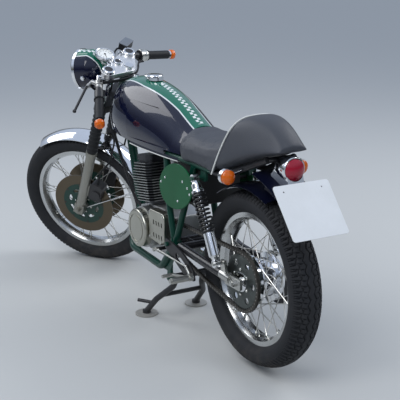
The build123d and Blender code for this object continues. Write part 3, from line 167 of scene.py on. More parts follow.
# %% Small helpers for shader nodes
def new_group(name, inputs, outputs):
    """An empty shader group with named sockets; inputs are (label, kind, default) rows."""
    group = bpy.data.node_groups.new(name, "ShaderNodeTree")
    for label, kind, default in inputs:
        socket = group.interface.new_socket(label, in_out="INPUT", socket_type=kind)
        socket.default_value = default
    for label, kind in outputs:
        group.interface.new_socket(label, in_out="OUTPUT", socket_type=kind)
    return group, group.nodes.new("NodeGroupInput"), group.nodes.new("NodeGroupOutput")


def add_node(tree, kind, links=(), **settings):
    """A node with settings, and links given as (input, output socket or value) pairs."""
    node = tree.nodes.new(kind)
    for label, value in settings.items():
        setattr(node, label, value)
    for key, value in links:
        if isinstance(value, bpy.types.NodeSocket):
            tree.links.new(value, node.inputs[key])
        else:
            node.inputs[key].default_value = value
    return node


def math_node(tree, operation, *values):
    """The result of one sum on sockets or numbers."""
    return add_node(tree, "ShaderNodeMath", enumerate(values), operation=operation).outputs[0]


def ranged(tree, value, low, high, to_low=0.0, to_high=1.0):
    """A value mapped from one range to another and held inside it."""
    return add_node(tree, "ShaderNodeMapRange", [
        ("Value", value), ("From Min", low), ("From Max", high), ("To Min", to_low),
        ("To Max", to_high)]).outputs["Result"]


def mixed(tree, share, first, second):
    """Two colours mixed by a share from 0 to 1."""
    return add_node(tree, "ShaderNodeMix", [(0, share), (6, first), (7, second)], data_type="RGBA").outputs[2]


def point_in(tree, place):
    """The shaded point, measured in a frame of its own."""
    spot = add_node(tree, "ShaderNodeTexCoord")
    turn = add_node(tree, "ShaderNodeMapping", [
        ("Vector", spot.outputs["Object"]), ("Location", place.to_translation()),
        ("Rotation", place.to_euler())], vector_type="TEXTURE")
    return turn.outputs["Vector"]


FLOAT, COLOR, VECTOR = "NodeSocketFloat", "NodeSocketColor", "NodeSocketVector"

# %% Sky
sky_stops = [(0.46, (0.05, 0.055, 0.045, 1)), (0.56, (0.16, 0.17, 0.17, 1)), (0.72, (0.66, 0.76, 0.95, 1))]
backdrop_grey = (0.72, 0.74, 0.74, 1)
sky_strength = 0.8
world = bpy.data.worlds.new("studio_sky")
world.use_nodes = True
bpy.context.scene.world = world
sky = world.node_tree
direction = add_node(sky, "ShaderNodeTexCoord").outputs["Generated"]
split = add_node(sky, "ShaderNodeSeparateXYZ", [(0, direction)])
height = math_node(sky, "MULTIPLY_ADD", split.outputs["Z"], 0.5, 0.5)
sky_ramp = add_node(sky, "ShaderNodeValToRGB", [(0, height)])
sky_ramp.color_ramp.elements.new(sky_stops[1][0])
for stop, (position, color) in zip(sky_ramp.color_ramp.elements, sky_stops):
    stop.position = position
    stop.color = color
seen = add_node(sky, "ShaderNodeLightPath").outputs["Is Camera Ray"]
background = sky.nodes["Background"]
sky.links.new(mixed(sky, seen, sky_ramp.outputs[0], backdrop_grey), background.inputs[0])
background.inputs[1].default_value = sky_strength
bpy.context.scene.view_settings.view_transform = "Standard"
print("sky colours", len(sky_ramp.color_ramp.elements))

# %% [markdown]
# ## Shared effects as node groups
#
# Real surfaces are never one flat colour: chrome carries faint haze, paint fades in patches, castings have
# a sandy skin. The same few effects turn up in many finishes, so each is a shader node group with named
# inputs. A group is built once and every material places it with its own numbers. The groups read Object
# coordinates, which are plain metres in the model, so a grain keeps its real size on every piece.

# %% Effect: wear in patches
surface_wear, wear_in, wear_out = new_group(
    "surface_wear",
    [("Clean", COLOR, (0.5, 0.5, 0.5, 1)), ("Worn", COLOR, (0.3, 0.3, 0.3, 1)), ("Patches", FLOAT, 9.0),
     ("Amount", FLOAT, 0.5), ("Roughness", FLOAT, 0.3), ("Spread", FLOAT, 0.1)],
    [("Color", COLOR), ("Roughness", FLOAT)])
place = add_node(surface_wear, "ShaderNodeTexCoord")
clouds = add_node(surface_wear, "ShaderNodeTexNoise", [
    ("Vector", place.outputs["Object"]), ("Scale", wear_in.outputs["Patches"]), ("Detail", 7.0),
    ("Roughness", 0.62)]).outputs["Fac"]
patch = ranged(surface_wear, clouds, 0.38, 0.68)
share = math_node(surface_wear, "MULTIPLY", patch, wear_in.outputs["Amount"])
blend = mixed(surface_wear, share, wear_in.outputs["Clean"], wear_in.outputs["Worn"])
swing = math_node(surface_wear, "MULTIPLY_ADD", clouds, wear_in.outputs["Spread"],
                  wear_in.outputs["Roughness"])
surface_wear.links.new(blend, wear_out.inputs["Color"])
surface_wear.links.new(swing, wear_out.inputs["Roughness"])

# %% Effect: a fine grain that may be drawn out in one direction
fine_grain, grain_in, grain_out = new_group(
    "fine_grain", [("Scale", FLOAT, 300.0), ("Stretch", VECTOR, (1, 1, 1))], [("Height", FLOAT)])
place = add_node(fine_grain, "ShaderNodeTexCoord")
drawn = add_node(fine_grain, "ShaderNodeVectorMath", [
    (0, place.outputs["Object"]), (1, grain_in.outputs["Stretch"])], operation="MULTIPLY")
sand = add_node(fine_grain, "ShaderNodeTexNoise", [
    ("Vector", drawn.outputs[0]), ("Scale", grain_in.outputs["Scale"]), ("Detail", 3.0)])
fine_grain.links.new(sand.outputs["Fac"], grain_out.inputs["Height"])

# %% Effect: pebbled vinyl skin
vinyl_grain, vinyl_in, vinyl_out = new_group("vinyl_grain", [("Scale", FLOAT, 420.0)], [("Height", FLOAT)])
place = add_node(vinyl_grain, "ShaderNodeTexCoord")
pebbles = add_node(vinyl_grain, "ShaderNodeTexVoronoi", [
    ("Vector", place.outputs["Object"]), ("Scale", vinyl_in.outputs["Scale"])], feature="SMOOTH_F1")
vinyl_grain.links.new(pebbles.outputs["Distance"], vinyl_out.inputs["Height"])

# %% Effect: road dust that gathers low down
road_dust, dust_in, dust_out = new_group(
    "road_dust",
    [("Color", COLOR, (0.1, 0.1, 0.1, 1)), ("Dust", COLOR, (0.16, 0.13, 0.1, 1)), ("Top", FLOAT, 0.3),
     ("Amount", FLOAT, 0.5)], [("Color", COLOR)])
place = add_node(road_dust, "ShaderNodeTexCoord").outputs["Object"]
split = add_node(road_dust, "ShaderNodeSeparateXYZ", [(0, place)])
fade = ranged(road_dust, split.outputs["Z"], dust_in.outputs["Top"], 0.0)
clouds = add_node(road_dust, "ShaderNodeTexNoise", [
    ("Vector", place), ("Scale", 28.0), ("Detail", 8.0), ("Roughness", 0.7)]).outputs["Fac"]
patch = ranged(road_dust, clouds, 0.42, 0.7)
low_patch = math_node(road_dust, "MULTIPLY", fade, patch)
mask = math_node(road_dust, "MULTIPLY", low_patch, dust_in.outputs["Amount"])
blend = mixed(road_dust, mask, dust_in.outputs["Color"], dust_in.outputs["Dust"])
road_dust.links.new(blend, dust_out.inputs["Color"])
print("effects", [group.name for group in bpy.data.node_groups])

# %% [markdown]
# ## Finishes
#
# A finish is one material: a colour pair for clean and worn patches, a roughness, how metallic it is, and a
# clear coat for lacquer. Metal gets its look from roughness more than from colour, so chrome, polished
# alloy, brushed alloy and cast alloy differ mostly there and in their grain. Constant values stay on the
# shader's own sockets.


# %% One recipe for all plain finishes
def finish(name, clean, worn, roughness, metallic=0.0, spread=0.12, patches=9.0, amount=0.5, coat=0.0,
           coat_roughness=0.04, specular=0.5, grain=0.0, grain_scale=300.0, stretch=(1, 1, 1), dust=0.0,
           dust_top=0.35, skin=None):
    """A material with worn patches, and with grain, a clear coat or road dust where they are asked for."""
    material = bpy.data.materials.new(name)
    material.use_nodes = True
    tree = material.node_tree
    shader = tree.nodes["Principled BSDF"]
    shader.inputs["Metallic"].default_value = metallic
    shader.inputs["Coat Weight"].default_value = coat
    shader.inputs["Coat Roughness"].default_value = coat_roughness
    shader.inputs["Specular IOR Level"].default_value = specular
    wear = add_node(tree, "ShaderNodeGroup", node_tree=surface_wear)
    wear.inputs["Clean"].default_value = (*clean, 1)
    wear.inputs["Worn"].default_value = (*worn, 1)
    wear.inputs["Patches"].default_value = patches
    wear.inputs["Amount"].default_value = amount
    wear.inputs["Roughness"].default_value = roughness
    wear.inputs["Spread"].default_value = spread
    color = wear.outputs["Color"]
    if dust:
        road = add_node(tree, "ShaderNodeGroup", node_tree=road_dust)
        tree.links.new(color, road.inputs["Color"])
        road.inputs["Top"].default_value = dust_top
        road.inputs["Amount"].default_value = dust
        color = road.outputs["Color"]
    tree.links.new(color, shader.inputs["Base Color"])
    tree.links.new(wear.outputs["Roughness"], shader.inputs["Roughness"])
    if grain:
        texture = add_node(tree, "ShaderNodeGroup", node_tree=skin or fine_grain)
        texture.inputs["Scale"].default_value = grain_scale
        if skin is None:
            texture.inputs["Stretch"].default_value = stretch
        bump = add_node(tree, "ShaderNodeBump", [("Height", texture.outputs["Height"]), ("Distance", grain)])
        tree.links.new(bump.outputs["Normal"], shader.inputs["Normal"])
    return material


# %% Bright metals
chrome = finish("chrome_plate", (0.83, 0.84, 0.86), (0.62, 0.63, 0.64), 0.03, metallic=1.0, spread=0.08,
                amount=0.4)
polished_alloy = finish("polished_alloy", (0.62, 0.62, 0.58), (0.46, 0.45, 0.41), 0.15, metallic=1.0,
                        spread=0.16, grain=0.00004, grain_scale=260.0)
rim_alloy = finish("rim_alloy", (0.62, 0.63, 0.63), (0.44, 0.44, 0.42), 0.12, metallic=1.0, spread=0.14,
                   dust=0.35, dust_top=0.2)
spoke_steel = finish("spoke_steel", (0.68, 0.67, 0.64), (0.4, 0.38, 0.34), 0.22, metallic=1.0)
cover_alloy = finish("cover_alloy", (0.46, 0.455, 0.4), (0.33, 0.32, 0.27), 0.2, metallic=1.0, spread=0.18,
                     grain=0.00004, grain_scale=260.0)
yoke_alloy = finish("yoke_alloy", (0.84, 0.84, 0.84), (0.7, 0.7, 0.69), 0.34, metallic=1.0, spread=0.1,
                    grain=0.00003, grain_scale=400.0, stretch=(1, 12, 1))
cast_alloy = finish("cast_alloy", (0.46, 0.47, 0.47), (0.3, 0.3, 0.29), 0.38, metallic=1.0, grain=0.0002,
                    grain_scale=700.0, dust=0.3, dust_top=0.5)
raw_alloy = finish("raw_alloy", (0.35, 0.345, 0.31), (0.26, 0.25, 0.21), 0.36, metallic=0.9, grain=0.0001,
                   grain_scale=500.0, dust=0.3)
gauge_silver = finish("gauge_silver", (0.72, 0.73, 0.74), (0.55, 0.56, 0.57), 0.25, metallic=1.0)

# %% Dark metals
sprocket_steel = finish("sprocket_steel", (0.105, 0.118, 0.112), (0.05, 0.055, 0.052), 0.32, metallic=0.9,
                        patches=40.0)
chain_steel = finish("chain_steel", (0.095, 0.088, 0.078), (0.035, 0.032, 0.03), 0.34, metallic=0.9,
                     patches=60.0)
caliper_black = finish("caliper_black", (0.025, 0.025, 0.028), (0.05, 0.048, 0.045), 0.35, grain=0.0001)

# %% Paints
black_paint = finish("black_paint", (0.009, 0.009, 0.011), (0.02, 0.02, 0.02), 0.26, coat=0.3, specular=0.3,
                     dust=0.15)
frame_green = finish("frame_green", (0.003, 0.042, 0.028), (0.005, 0.03, 0.02), 0.3, coat=0.35, specular=0.15,
                     amount=0.4)
cover_green = finish("cover_green", (0.003, 0.088, 0.03), (0.004, 0.064, 0.022), 0.4, coat=0.12, specular=0.2,
                     amount=0.5)
dark_blue = finish("dark_blue", (0.003, 0.004, 0.014), (0.004, 0.005, 0.017), 0.24, coat=1.0, specular=0.1,
                   amount=0.5)
plate_white = finish("plate_white", (0.74, 0.76, 0.77), (0.66, 0.68, 0.68), 0.42, amount=0.6)

# %% Rubber and plastic
tyre_rubber = finish("tyre_rubber", (0.013, 0.014, 0.017), (0.026, 0.026, 0.027), 0.6, spread=0.2,
                     patches=18.0, grain=0.0002, grain_scale=900.0, dust=0.4, dust_top=0.12, specular=0.35)
black_rubber = finish("black_rubber", (0.011, 0.012, 0.014), (0.02, 0.02, 0.022), 0.5, grain=0.0001,
                      specular=0.3)
black_plastic = finish("black_plastic", (0.015, 0.015, 0.016), (0.025, 0.025, 0.025), 0.5, grain=0.0001)
seat_vinyl = finish("seat_vinyl", (0.04, 0.044, 0.055), (0.052, 0.056, 0.066), 0.42, spread=0.16, patches=7.0,
                    grain=0.0005, grain_scale=420.0, skin=vinyl_grain)
piping_white = finish("piping_white", (0.68, 0.69, 0.66), (0.5, 0.5, 0.46), 0.4)
control_metal = finish("control_metal", (0.016, 0.016, 0.018), (0.06, 0.06, 0.06), 0.35, patches=40.0)


# %% Lenses
def lens_finish(name, color, roughness, transmission, worn):
    """Clear coloured plastic: the light goes in and comes back with the colour."""
    material = finish(name, color, worn, roughness, coat=0.0, spread=0.04, amount=0.3)
    shader = material.node_tree.nodes["Principled BSDF"]
    shader.inputs["Transmission Weight"].default_value = transmission
    shader.inputs["IOR"].default_value = 1.49
    return material


red_lens = lens_finish("red_lens", (0.45, 0.014, 0.04), 0.08, 0.3, (0.32, 0.009, 0.028))
amber_lens = lens_finish("amber_lens", (0.95, 0.2, 0.01), 0.1, 0.35, (0.8, 0.14, 0.01))
print("finishes", len(bpy.data.materials))

# %% [markdown]
# ## Dressing the solid pieces
#
# Most of the solids already have the right shape, so they only need the right finish. The table below is
# the paint plan of the motorcycle: one line per finish, with the solids that wear it. The solids that it
# prints as still bare show two finishes or stripes, and get them further down.


# %% The paint plan
def wear_material(node, material):
    """Give a solid one material in all its slots."""
    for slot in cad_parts[node].material_slots:
        slot.material = material


paint_plan = [
    (tyre_rubber, ["front_tyre", "rear_tyre"]),
    (rim_alloy, ["front_rim", "rear_rim"]),
    (spoke_steel, ["front_spokes", "rear_spokes"]),
    (chrome, ["rear_hub", "exhaust_header", "fuel_cap", "tail_lamp", "rear_indicators", "shock_bodies",
              "fork_stanchions", "handlebars", "front_mudguard"]),
    (cover_alloy, ["engine_covers", "sprocket_cover"]),
    (yoke_alloy, ["top_yoke"]),
    (cast_alloy, ["front_hub", "crankcase", "carburettor"]),
    (raw_alloy, ["fork_sliders"]),
    (gauge_silver, ["speedometer"]),
    (chain_steel, ["drive_chain", "output_sprocket"]),
    (sprocket_steel, ["rear_sprocket"]),
    (black_paint, ["silencer", "shock_springs", "lower_yoke"]),
    (caliper_black, ["brake_calipers"]),
    (frame_green, ["frame_cradle"]),
    (cover_green, ["side_covers"]),
    (dark_blue, ["rear_mudguard"]),
    (plate_white, ["number_plate"]),
    (black_rubber, ["fork_gaiters", "grips", "control_cables", "brake_hoses"]),
    (black_plastic, ["electrics_box"]),
    (seat_vinyl, ["seat_cushion", "seat_hump"]),
    (red_lens, ["tail_lens"]),
    (amber_lens, ["indicator_lenses", "bar_end_lamps"]),
]
dressed = set()
for material, nodes in paint_plan:
    for node in nodes:
        wear_material(node, material)
        dressed.add(node)
print("still bare:", sorted(set(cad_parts) - dressed))

# %% [markdown]
# ## Making pieces
#
# Every added piece goes through the same last steps: it is drawn in the millimetres of a frame, moved to its
# place with that frame's matrix, its doubled corners are merged and its faces are turned outward. Then it
# rides on a body. One function does this, so no piece can miss a step.


# %% Helpers for pieces
WELD = 0.00001


def finish_piece(name, mesh, place, body, material, stands_for=(), sharp=35):
    """Turn a bmesh drawn in a frame's millimetres into a piece that rides on a body."""
    bmesh.ops.transform(mesh, matrix=place, verts=mesh.verts)
    bmesh.ops.remove_doubles(mesh, verts=mesh.verts, dist=WELD)
    bmesh.ops.recalc_face_normals(mesh, faces=mesh.faces)
    data = bpy.data.meshes.new(name)
    mesh.to_mesh(data)
    mesh.free()
    data.polygons.foreach_set("use_smooth", [True] * len(data.polygons))
    data.set_sharp_from_angle(angle=math.radians(sharp))
    data.materials.append(material)
    made = bpy.data.objects.new(name, data)
    bpy.context.collection.objects.link(made)
    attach(made, body)
    if stands_for:
        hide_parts(*stands_for)
    return made


def arc_points(start, through, end, steps):
    """Points on the circle through three points, in a plane."""
    (ax, ay), (bx, by), (cx, cy) = start, through, end
    a_square, b_square, c_square = ax ** 2 + ay ** 2, bx ** 2 + by ** 2, cx ** 2 + cy ** 2
    area = 2 * (ax * (by - cy) + bx * (cy - ay) + cx * (ay - by))
    middle_x = (a_square * (by - cy) + b_square * (cy - ay) + c_square * (ay - by)) / area
    middle_y = (a_square * (cx - bx) + b_square * (ax - cx) + c_square * (bx - ax)) / area
    radius = math.hypot(ax - middle_x, ay - middle_y)
    angles = [math.atan2(y - middle_y, x - middle_x) for x, y in (start, through, end)]
    turn = 2 * math.pi
    sweep = (angles[2] - angles[0]) % turn
    if (angles[1] - angles[0]) % turn > sweep:
        sweep -= turn
    return [(middle_x + radius * math.cos(angles[0] + sweep * i / steps),
             middle_y + radius * math.sin(angles[0] + sweep * i / steps)) for i in range(steps + 1)]


def turned(mesh, profile, steps):
    """Turn a closed line of (radius, y) points about the Y axis."""
    corners = [mesh.verts.new((radius, y, 0)) for radius, y in profile]
    edges = [mesh.edges.new(pair) for pair in zip(corners, corners[1:] + corners[:1])]
    bmesh.ops.spin(mesh, geom=corners + edges, cent=(0, 0, 0), axis=(0, 1, 0), angle=2 * math.pi, steps=steps,
                   use_merge=True)


# %% [markdown]
# ## Tyres
#
# A road tyre of this kind has a rounded crown with blocks parted by zigzag grooves, and plain walls with a
# few thin ribs. A texture would show the grooves as paint; a cut for each block would be slow. So the ring
# is turned with fine steps and every point on the crown is moved inward where a groove runs: the groove
# lines are simple sums of a zigzag and the place across the tread. The outer size stays the solid's own.


# %% Two treaded tyres
def zigzag(turns):
    """A triangle wave from -1 to 1."""
    return 4 * abs(turns % 1 - 0.5) - 1


def groove(distance, half):
    """1 at the middle of a groove, 0 outside it, with steep walls."""
    return max(0.0, min(1.0, (half - abs(distance)) / (0.45 * half)))


ROW_HALF, CROSS_HALF, SHOULDER_HALF = 2.6, 2.3, 1.9
GROOVE_DEPTH = 5.5
WALL_RIB = 0.7
BEAD_GAP = 0.4
RIM_WALL = 4


def treaded_tyre(name, place, body, outer, width, bead, flange, rim_half, repeats, rows, swing):
    """A tyre turned from its section, with zigzag grooves at the given places across the crown."""
    half = width / 2
    bead_half = rim_half - RIM_WALL - BEAD_GAP
    wall = (bead + 0.52 * (outer - bead), half)
    shoulder = (outer - 0.17 * width, 0.43 * width)
    near = arc_points((flange, bead_half), wall, shoulder, 16)
    for i in (5, 7, 10, 12):
        near[i] = (near[i][0], near[i][1] + WALL_RIB)
    crown = arc_points(shoulder, (outer, 0), (shoulder[0], -shoulder[1]), 48)
    far = [(r, -y) for r, y in reversed(near)]
    inner = [(bead + BEAD_GAP, -bead_half), (bead + BEAD_GAP, bead_half)]
    mesh = bmesh.new()
    turned(mesh, near + crown[1:-1] + far + inner, repeats * (16))
    for vert in mesh.verts:
        radius = math.hypot(vert.co.x, vert.co.z)
        y = vert.co.y
        if radius < shoulder[0] - 4:
            continue
        turns = math.atan2(vert.co.z, vert.co.x) / (2 * math.pi) * repeats
        wave = zigzag(turns) * swing
        depth = max(groove(y - row - wave, ROW_HALF) for row in rows)
        side = 1 if y > 0 else -1
        across = zigzag(turns + 0.25 + side * 0.12 + 0.006 * abs(y))
        if abs(y) > rows[-1] * 0.55:
            depth = max(depth, groove(across * 10, CROSS_HALF))
        if abs(y) > rows[-1] + 5:
            depth = max(depth, groove(zigzag(turns) * 9, SHOULDER_HALF))
        push = 1 - GROOVE_DEPTH * depth / radius
        vert.co.x *= push
        vert.co.z *= push
    return finish_piece(name, mesh, place, body, tyre_rubber, [name.replace("_tread", "")], sharp=50)


rear_tread = treaded_tyre("rear_tyre_tread", rear_wheel_frame, "rear_wheel", outer=321, width=121, bead=228.6,
                          flange=240, rim_half=33, repeats=52, rows=(-34, -12, 12, 34), swing=4.5)
front_tread = treaded_tyre("front_tyre_tread", front_wheel_frame, "front_wheel", outer=327, width=94,
                           bead=241.3, flange=252, rim_half=28, repeats=56, rows=(-24, -8, 8, 24),
                           swing=2.2)
print("tyre points", len(rear_tread.data.vertices), len(front_tread.data.vertices))

# %% [markdown]
# ## Spoke nipples
#
# Each spoke ends in a small plated nipple at the rim. They are tiny, but thirty-six bright dots around a rim
# are what makes a wire wheel look laced. One short cone is drawn and placed along every spoke by the same
# sums that place the spokes of the solid model.


# %% Nipples for both wheels
SPOKES_PER_SIDE = 18
SPOKES_CROSSED = 2.6
HUB_STAGGER = 3.2
RIM_STAGGER = 2.6
NIPPLE_LONG, RIM_GAP = 14, 0.6
HEAD_LONG, HUB_GAP = 9, 1.2


def on_wheel(radius, angle, y):
    """A point at a radius and an angle about the axle."""
    return Vector((radius * math.cos(angle), y, radius * math.sin(angle)))


def spoke_lines(hub_radius, hub_y, rim_radius, rim_y):
    """The start and end of every spoke, in the wheel's frame."""
    lines = []
    pitch = 360 / SPOKES_PER_SIDE
    for side in (1, -1):
        for i in range(SPOKES_PER_SIDE):
            lead = 1 if i % 2 else -1
            hub_angle = math.radians(i * pitch + (side - 1) * pitch / 4)
            rim_angle = hub_angle + lead * math.radians(pitch * SPOKES_CROSSED)
            start = on_wheel(hub_radius, hub_angle, side * (hub_y + HUB_STAGGER * lead))
            end = on_wheel(rim_radius, rim_angle, side * (rim_y + RIM_STAGGER * lead))
            lines.append((start, end))
    return lines


def add_rod(mesh, start, end, start_radius, end_radius, sides=8):
    """A closed cone or rod between two points."""
    run = Vector(end) - Vector(start)
    middle = Matrix.Translation((Vector(start) + Vector(end)) / 2)
    turn = run.to_track_quat("Z", "Y").to_matrix().to_4x4()
    bmesh.ops.create_cone(mesh, cap_ends=True, segments=sides, radius1=start_radius, radius2=end_radius,
                          depth=run.length, matrix=middle @ turn)


def nipples(name, place, body, lines):
    """A nipple at the rim end of every spoke, and a thicker head at its hub end."""
    mesh = bmesh.new()
    for start, end in lines:
        way = (end - start).normalized()
        add_rod(mesh, end - way * NIPPLE_LONG, end - way * RIM_GAP, start_radius=2.3, end_radius=3.1)
        add_rod(mesh, start + way * HUB_GAP, start + way * HEAD_LONG, start_radius=2.6, end_radius=2.0)
    finish_piece(name, mesh, place, body, polished_alloy)


nipples("rear_nipples", rear_wheel_frame, "rear_wheel", spoke_lines(88, 34, 210.6, 6))
nipples("front_nipples", front_wheel_frame, "front_wheel", spoke_lines(46, 27, 223.3, 5))
print("spokes a wheel", 2 * SPOKES_PER_SIDE)

# %% [markdown]
# ## Coil springs
#
# The solid model holds a ribbed sleeve where each spring is. The real spring is one steel wire wound around
# the damper, and daylight shows between its turns. A small circle is spun about the damper's axis while it
# climbs, which is just how a spring is wound.

# %% Two wound springs
shock_top = Vector((232, 0, 667))
shock_bottom = Vector((80, 0, 389))
shock_up = (shock_top - shock_bottom).normalized()
shock_turn = shock_up.to_track_quat("Z", "Y").to_matrix().to_4x4()
shock_y = 132
wire_radius, coil_radius = 4.3, 22
coil_start, coil_length, coil_turns = 117, 140, 9.5
steps_a_turn = 24
collar_radius, collar_thickness = 23.5, 4
collar_heights = (114.5, 258.5)
for side, word in ((1, "left"), (-1, "right")):
    mesh = bmesh.new()
    wire_place = Matrix.Translation((coil_radius, 0, coil_start)) @ Matrix.Rotation(math.radians(90), 4, "X")
    wire = bmesh.ops.create_circle(mesh, segments=10, radius=wire_radius, matrix=wire_place)
    ring = wire["verts"] + list(mesh.edges)
    climb = coil_length / (coil_turns * steps_a_turn)
    bmesh.ops.spin(mesh, geom=ring, cent=(0, 0, 0), axis=(0, 0, 1), dvec=(0, 0, climb),
                   angle=2 * math.pi * coil_turns, steps=int(coil_turns * steps_a_turn))
    bmesh.ops.holes_fill(mesh, edges=[edge for edge in mesh.edges if edge.is_boundary])
    for height in collar_heights:
        bmesh.ops.create_cone(mesh, cap_ends=True, segments=32, radius1=collar_radius, radius2=collar_radius,
                              depth=collar_thickness, matrix=Matrix.Translation((0, 0, height)))
    base = Matrix.Translation(shock_bottom + Vector((0, side * shock_y, 0))) @ shock_turn
    finish_piece(f"spring_{word}", mesh, bike_frame @ base, "chassis", black_paint,
                 ["shock_springs"] if side > 0 else ())
print("spring turns", coil_turns)

# %% [markdown]
# ## Racing band on the tank and the lamp
#
# A green band with white pinstripes runs down the middle of the tank and over the headlamp, with two rows
# of chequers in it. It could be cut as thin sheets, but paint has no thickness, so it is drawn in the
# shader. One group turns a point into a colour: how far it lies from the middle line says band, pinstripe
# or bare paint. The tank gives it plain coordinates and the headlamp turns them into the lamp's own
# direction with a Mapping node.

# %% Effect: band, pinstripes and chequers
chequer = 0.0115
soft_edge = 0.0004
pinstripe_half, pinstripe_core = 0.0028, 0.002
racing_band, band_in, band_out = new_group(
    "racing_band",
    [("Point", VECTOR, (0, 0, 0)), ("Paint", COLOR, (0, 0, 0, 1)), ("Green", COLOR, (0, 0.2, 0.1, 1)),
     ("White", COLOR, (0.8, 0.8, 0.8, 1)), ("Rear X", FLOAT, 0.5), ("Rear Half", FLOAT, 0.04),
     ("Front X", FLOAT, 0.76), ("Front Half", FLOAT, 0.06), ("Chequer Rear", FLOAT, 0.4),
     ("Chequer Front", FLOAT, 0.7)], [("Color", COLOR)])
point = add_node(racing_band, "ShaderNodeSeparateXYZ", [(0, band_in.outputs["Point"])]).outputs
half = ranged(racing_band, point["X"], band_in.outputs["Rear X"], band_in.outputs["Front X"],
              band_in.outputs["Rear Half"], band_in.outputs["Front Half"])
aside = math_node(racing_band, "ABSOLUTE", point["Y"])
past = math_node(racing_band, "SUBTRACT", aside, half)
inside = ranged(racing_band, past, soft_edge, -soft_edge)
line = ranged(racing_band, math_node(racing_band, "ABSOLUTE", past), pinstripe_half, pinstripe_core)
flat = add_node(racing_band, "ShaderNodeVectorMath", [
    (0, band_in.outputs["Point"]), (1, (1, 1, 0))], operation="MULTIPLY")
lifted = add_node(racing_band, "ShaderNodeVectorMath", [(0, flat.outputs[0]), (1, (0, 0, 0.005))])
check = add_node(racing_band, "ShaderNodeTexChecker", [
    ("Vector", lifted.outputs[0]), ("Scale", 1 / chequer)]).outputs["Fac"]
near = math_node(racing_band, "LESS_THAN", aside, chequer)
ahead = math_node(racing_band, "GREATER_THAN", point["X"], band_in.outputs["Chequer Rear"])
behind = math_node(racing_band, "LESS_THAN", point["X"], band_in.outputs["Chequer Front"])
for limit in (near, ahead, behind):
    check = math_node(racing_band, "MULTIPLY", check, limit)
white = math_node(racing_band, "MAXIMUM", check, line)
banded = mixed(racing_band, inside, band_in.outputs["Paint"], band_in.outputs["Green"])
striped = mixed(racing_band, white, banded, band_in.outputs["White"])
racing_band.links.new(striped, band_out.inputs["Color"])
print("band sockets", len(racing_band.interface.items_tree))


# %% Striped paint for the tank and the headlamp
band_green = (0.003, 0.13, 0.078, 1)
band_white = (0.72, 0.75, 0.74, 1)


def striped_paint(name, place, numbers):
    """Dark blue lacquer with the band, measured in a frame whose x runs forward along the band."""
    material = finish(name, (0.003, 0.0045, 0.02), (0.004, 0.006, 0.024), 0.16, coat=1.0,
                      coat_roughness=0.015, specular=0.1, spread=0.04, amount=0.5)
    tree = material.node_tree
    shader = tree.nodes["Principled BSDF"]
    band = add_node(tree, "ShaderNodeGroup", [
        ("Point", point_in(tree, place)), ("Green", band_green), ("White", band_white)],
        node_tree=racing_band)
    for label, value in numbers.items():
        band.inputs[label].default_value = value
    tree.links.new(shader.inputs["Base Color"].links[0].from_socket, band.inputs["Paint"])
    tree.links.new(band.outputs["Color"], shader.inputs["Base Color"])
    return material


lamp_middle = Vector((153, 0, 662))
lamp_frame = fork_frame @ Matrix.Translation(lamp_middle) @ Matrix.Rotation(rake, 4, "Y")
tank_band = {"Rear X": 0.514, "Rear Half": 0.039, "Front X": 0.763, "Front Half": 0.06,
             "Chequer Rear": 0.412, "Chequer Front": 0.723}
lamp_band = {"Rear X": -0.06, "Rear Half": 0.03, "Front X": 0.044, "Front Half": 0.0385,
             "Chequer Rear": -0.06, "Chequer Front": 0.05}
wear_material("fuel_tank", striped_paint("tank_paint", bike_frame, tank_band))
wear_material("headlamp_shell", striped_paint("lamp_paint", lamp_frame, lamp_band))
print("half widths of the tank's band, m", tank_band["Rear Half"], tank_band["Front Half"])

# %% [markdown]
# ## Two finishes on one solid
#
# A brake disc is one solid here, but its ring is bare iron and its carrier is painted. The swingarm is
# black with polished ends at the axle, and the hand controls are black but for the left lever's bare perch.
# Each is shown by a mask: a radius about the axle, or a place along one direction, mixes two colours and
# two metal values. The mask reads Object coordinates, so it stays on the metal from every side.


# %% Masks by distance and by place
def two_finish(name, roughness, first, second, place, axes, first_at, second_at):
    """Mix two (colour, metal) pairs by the distance along the marked axes of a frame, in metres."""
    color, metal = first
    material = finish(name, color, color, roughness, metallic=metal, patches=30.0)
    tree = material.node_tree
    shader = tree.nodes["Principled BSDF"]
    marked = add_node(tree, "ShaderNodeVectorMath", [
        (0, point_in(tree, place)), (1, axes)], operation="MULTIPLY")
    reach = add_node(tree, "ShaderNodeVectorMath", [(0, marked.outputs[0])], operation="LENGTH")
    mask = ranged(tree, reach.outputs["Value"], first_at, second_at)
    plain = shader.inputs["Base Color"].links[0].from_socket
    tree.links.new(mixed(tree, mask, plain, (*second[0], 1)), shader.inputs["Base Color"])
    tree.links.new(ranged(tree, mask, 0.0, 1.0, metal, second[1]), shader.inputs["Metallic"])
    return material


ABOUT_Y, ALONG_X, ALONG_Y, ALONG_Z = (1, 0, 1), (1, 0, 0), (0, 1, 0), (0, 0, 1)
arm_start = bike_frame @ Matrix.Translation((14, 0, 0))
left_perch = fork_frame @ Matrix.Translation((0, 140, 0))
wear_material("front_discs", two_finish(
    "disc_and_carrier", 0.3, ((0.135, 0.11, 0.078), 0.9), ((0.006, 0.04, 0.028), 0.0),
    front_wheel_frame, ABOUT_Y, 0.1025, 0.1015))
wear_material("swingarm", two_finish(
    "arm_and_plates", 0.2, ((0.5, 0.5, 0.48), 1.0), ((0.014, 0.014, 0.016), 0.0),
    arm_start, ALONG_X, 0.076, 0.078))
wear_material("hand_controls", two_finish(
    "lever_perch", 0.3, ((0.42, 0.42, 0.41), 0.9), ((0.016, 0.016, 0.018), 0.0),
    left_perch, ALONG_Y, 0.03, 0.034))
print("finishes", len(bpy.data.materials))

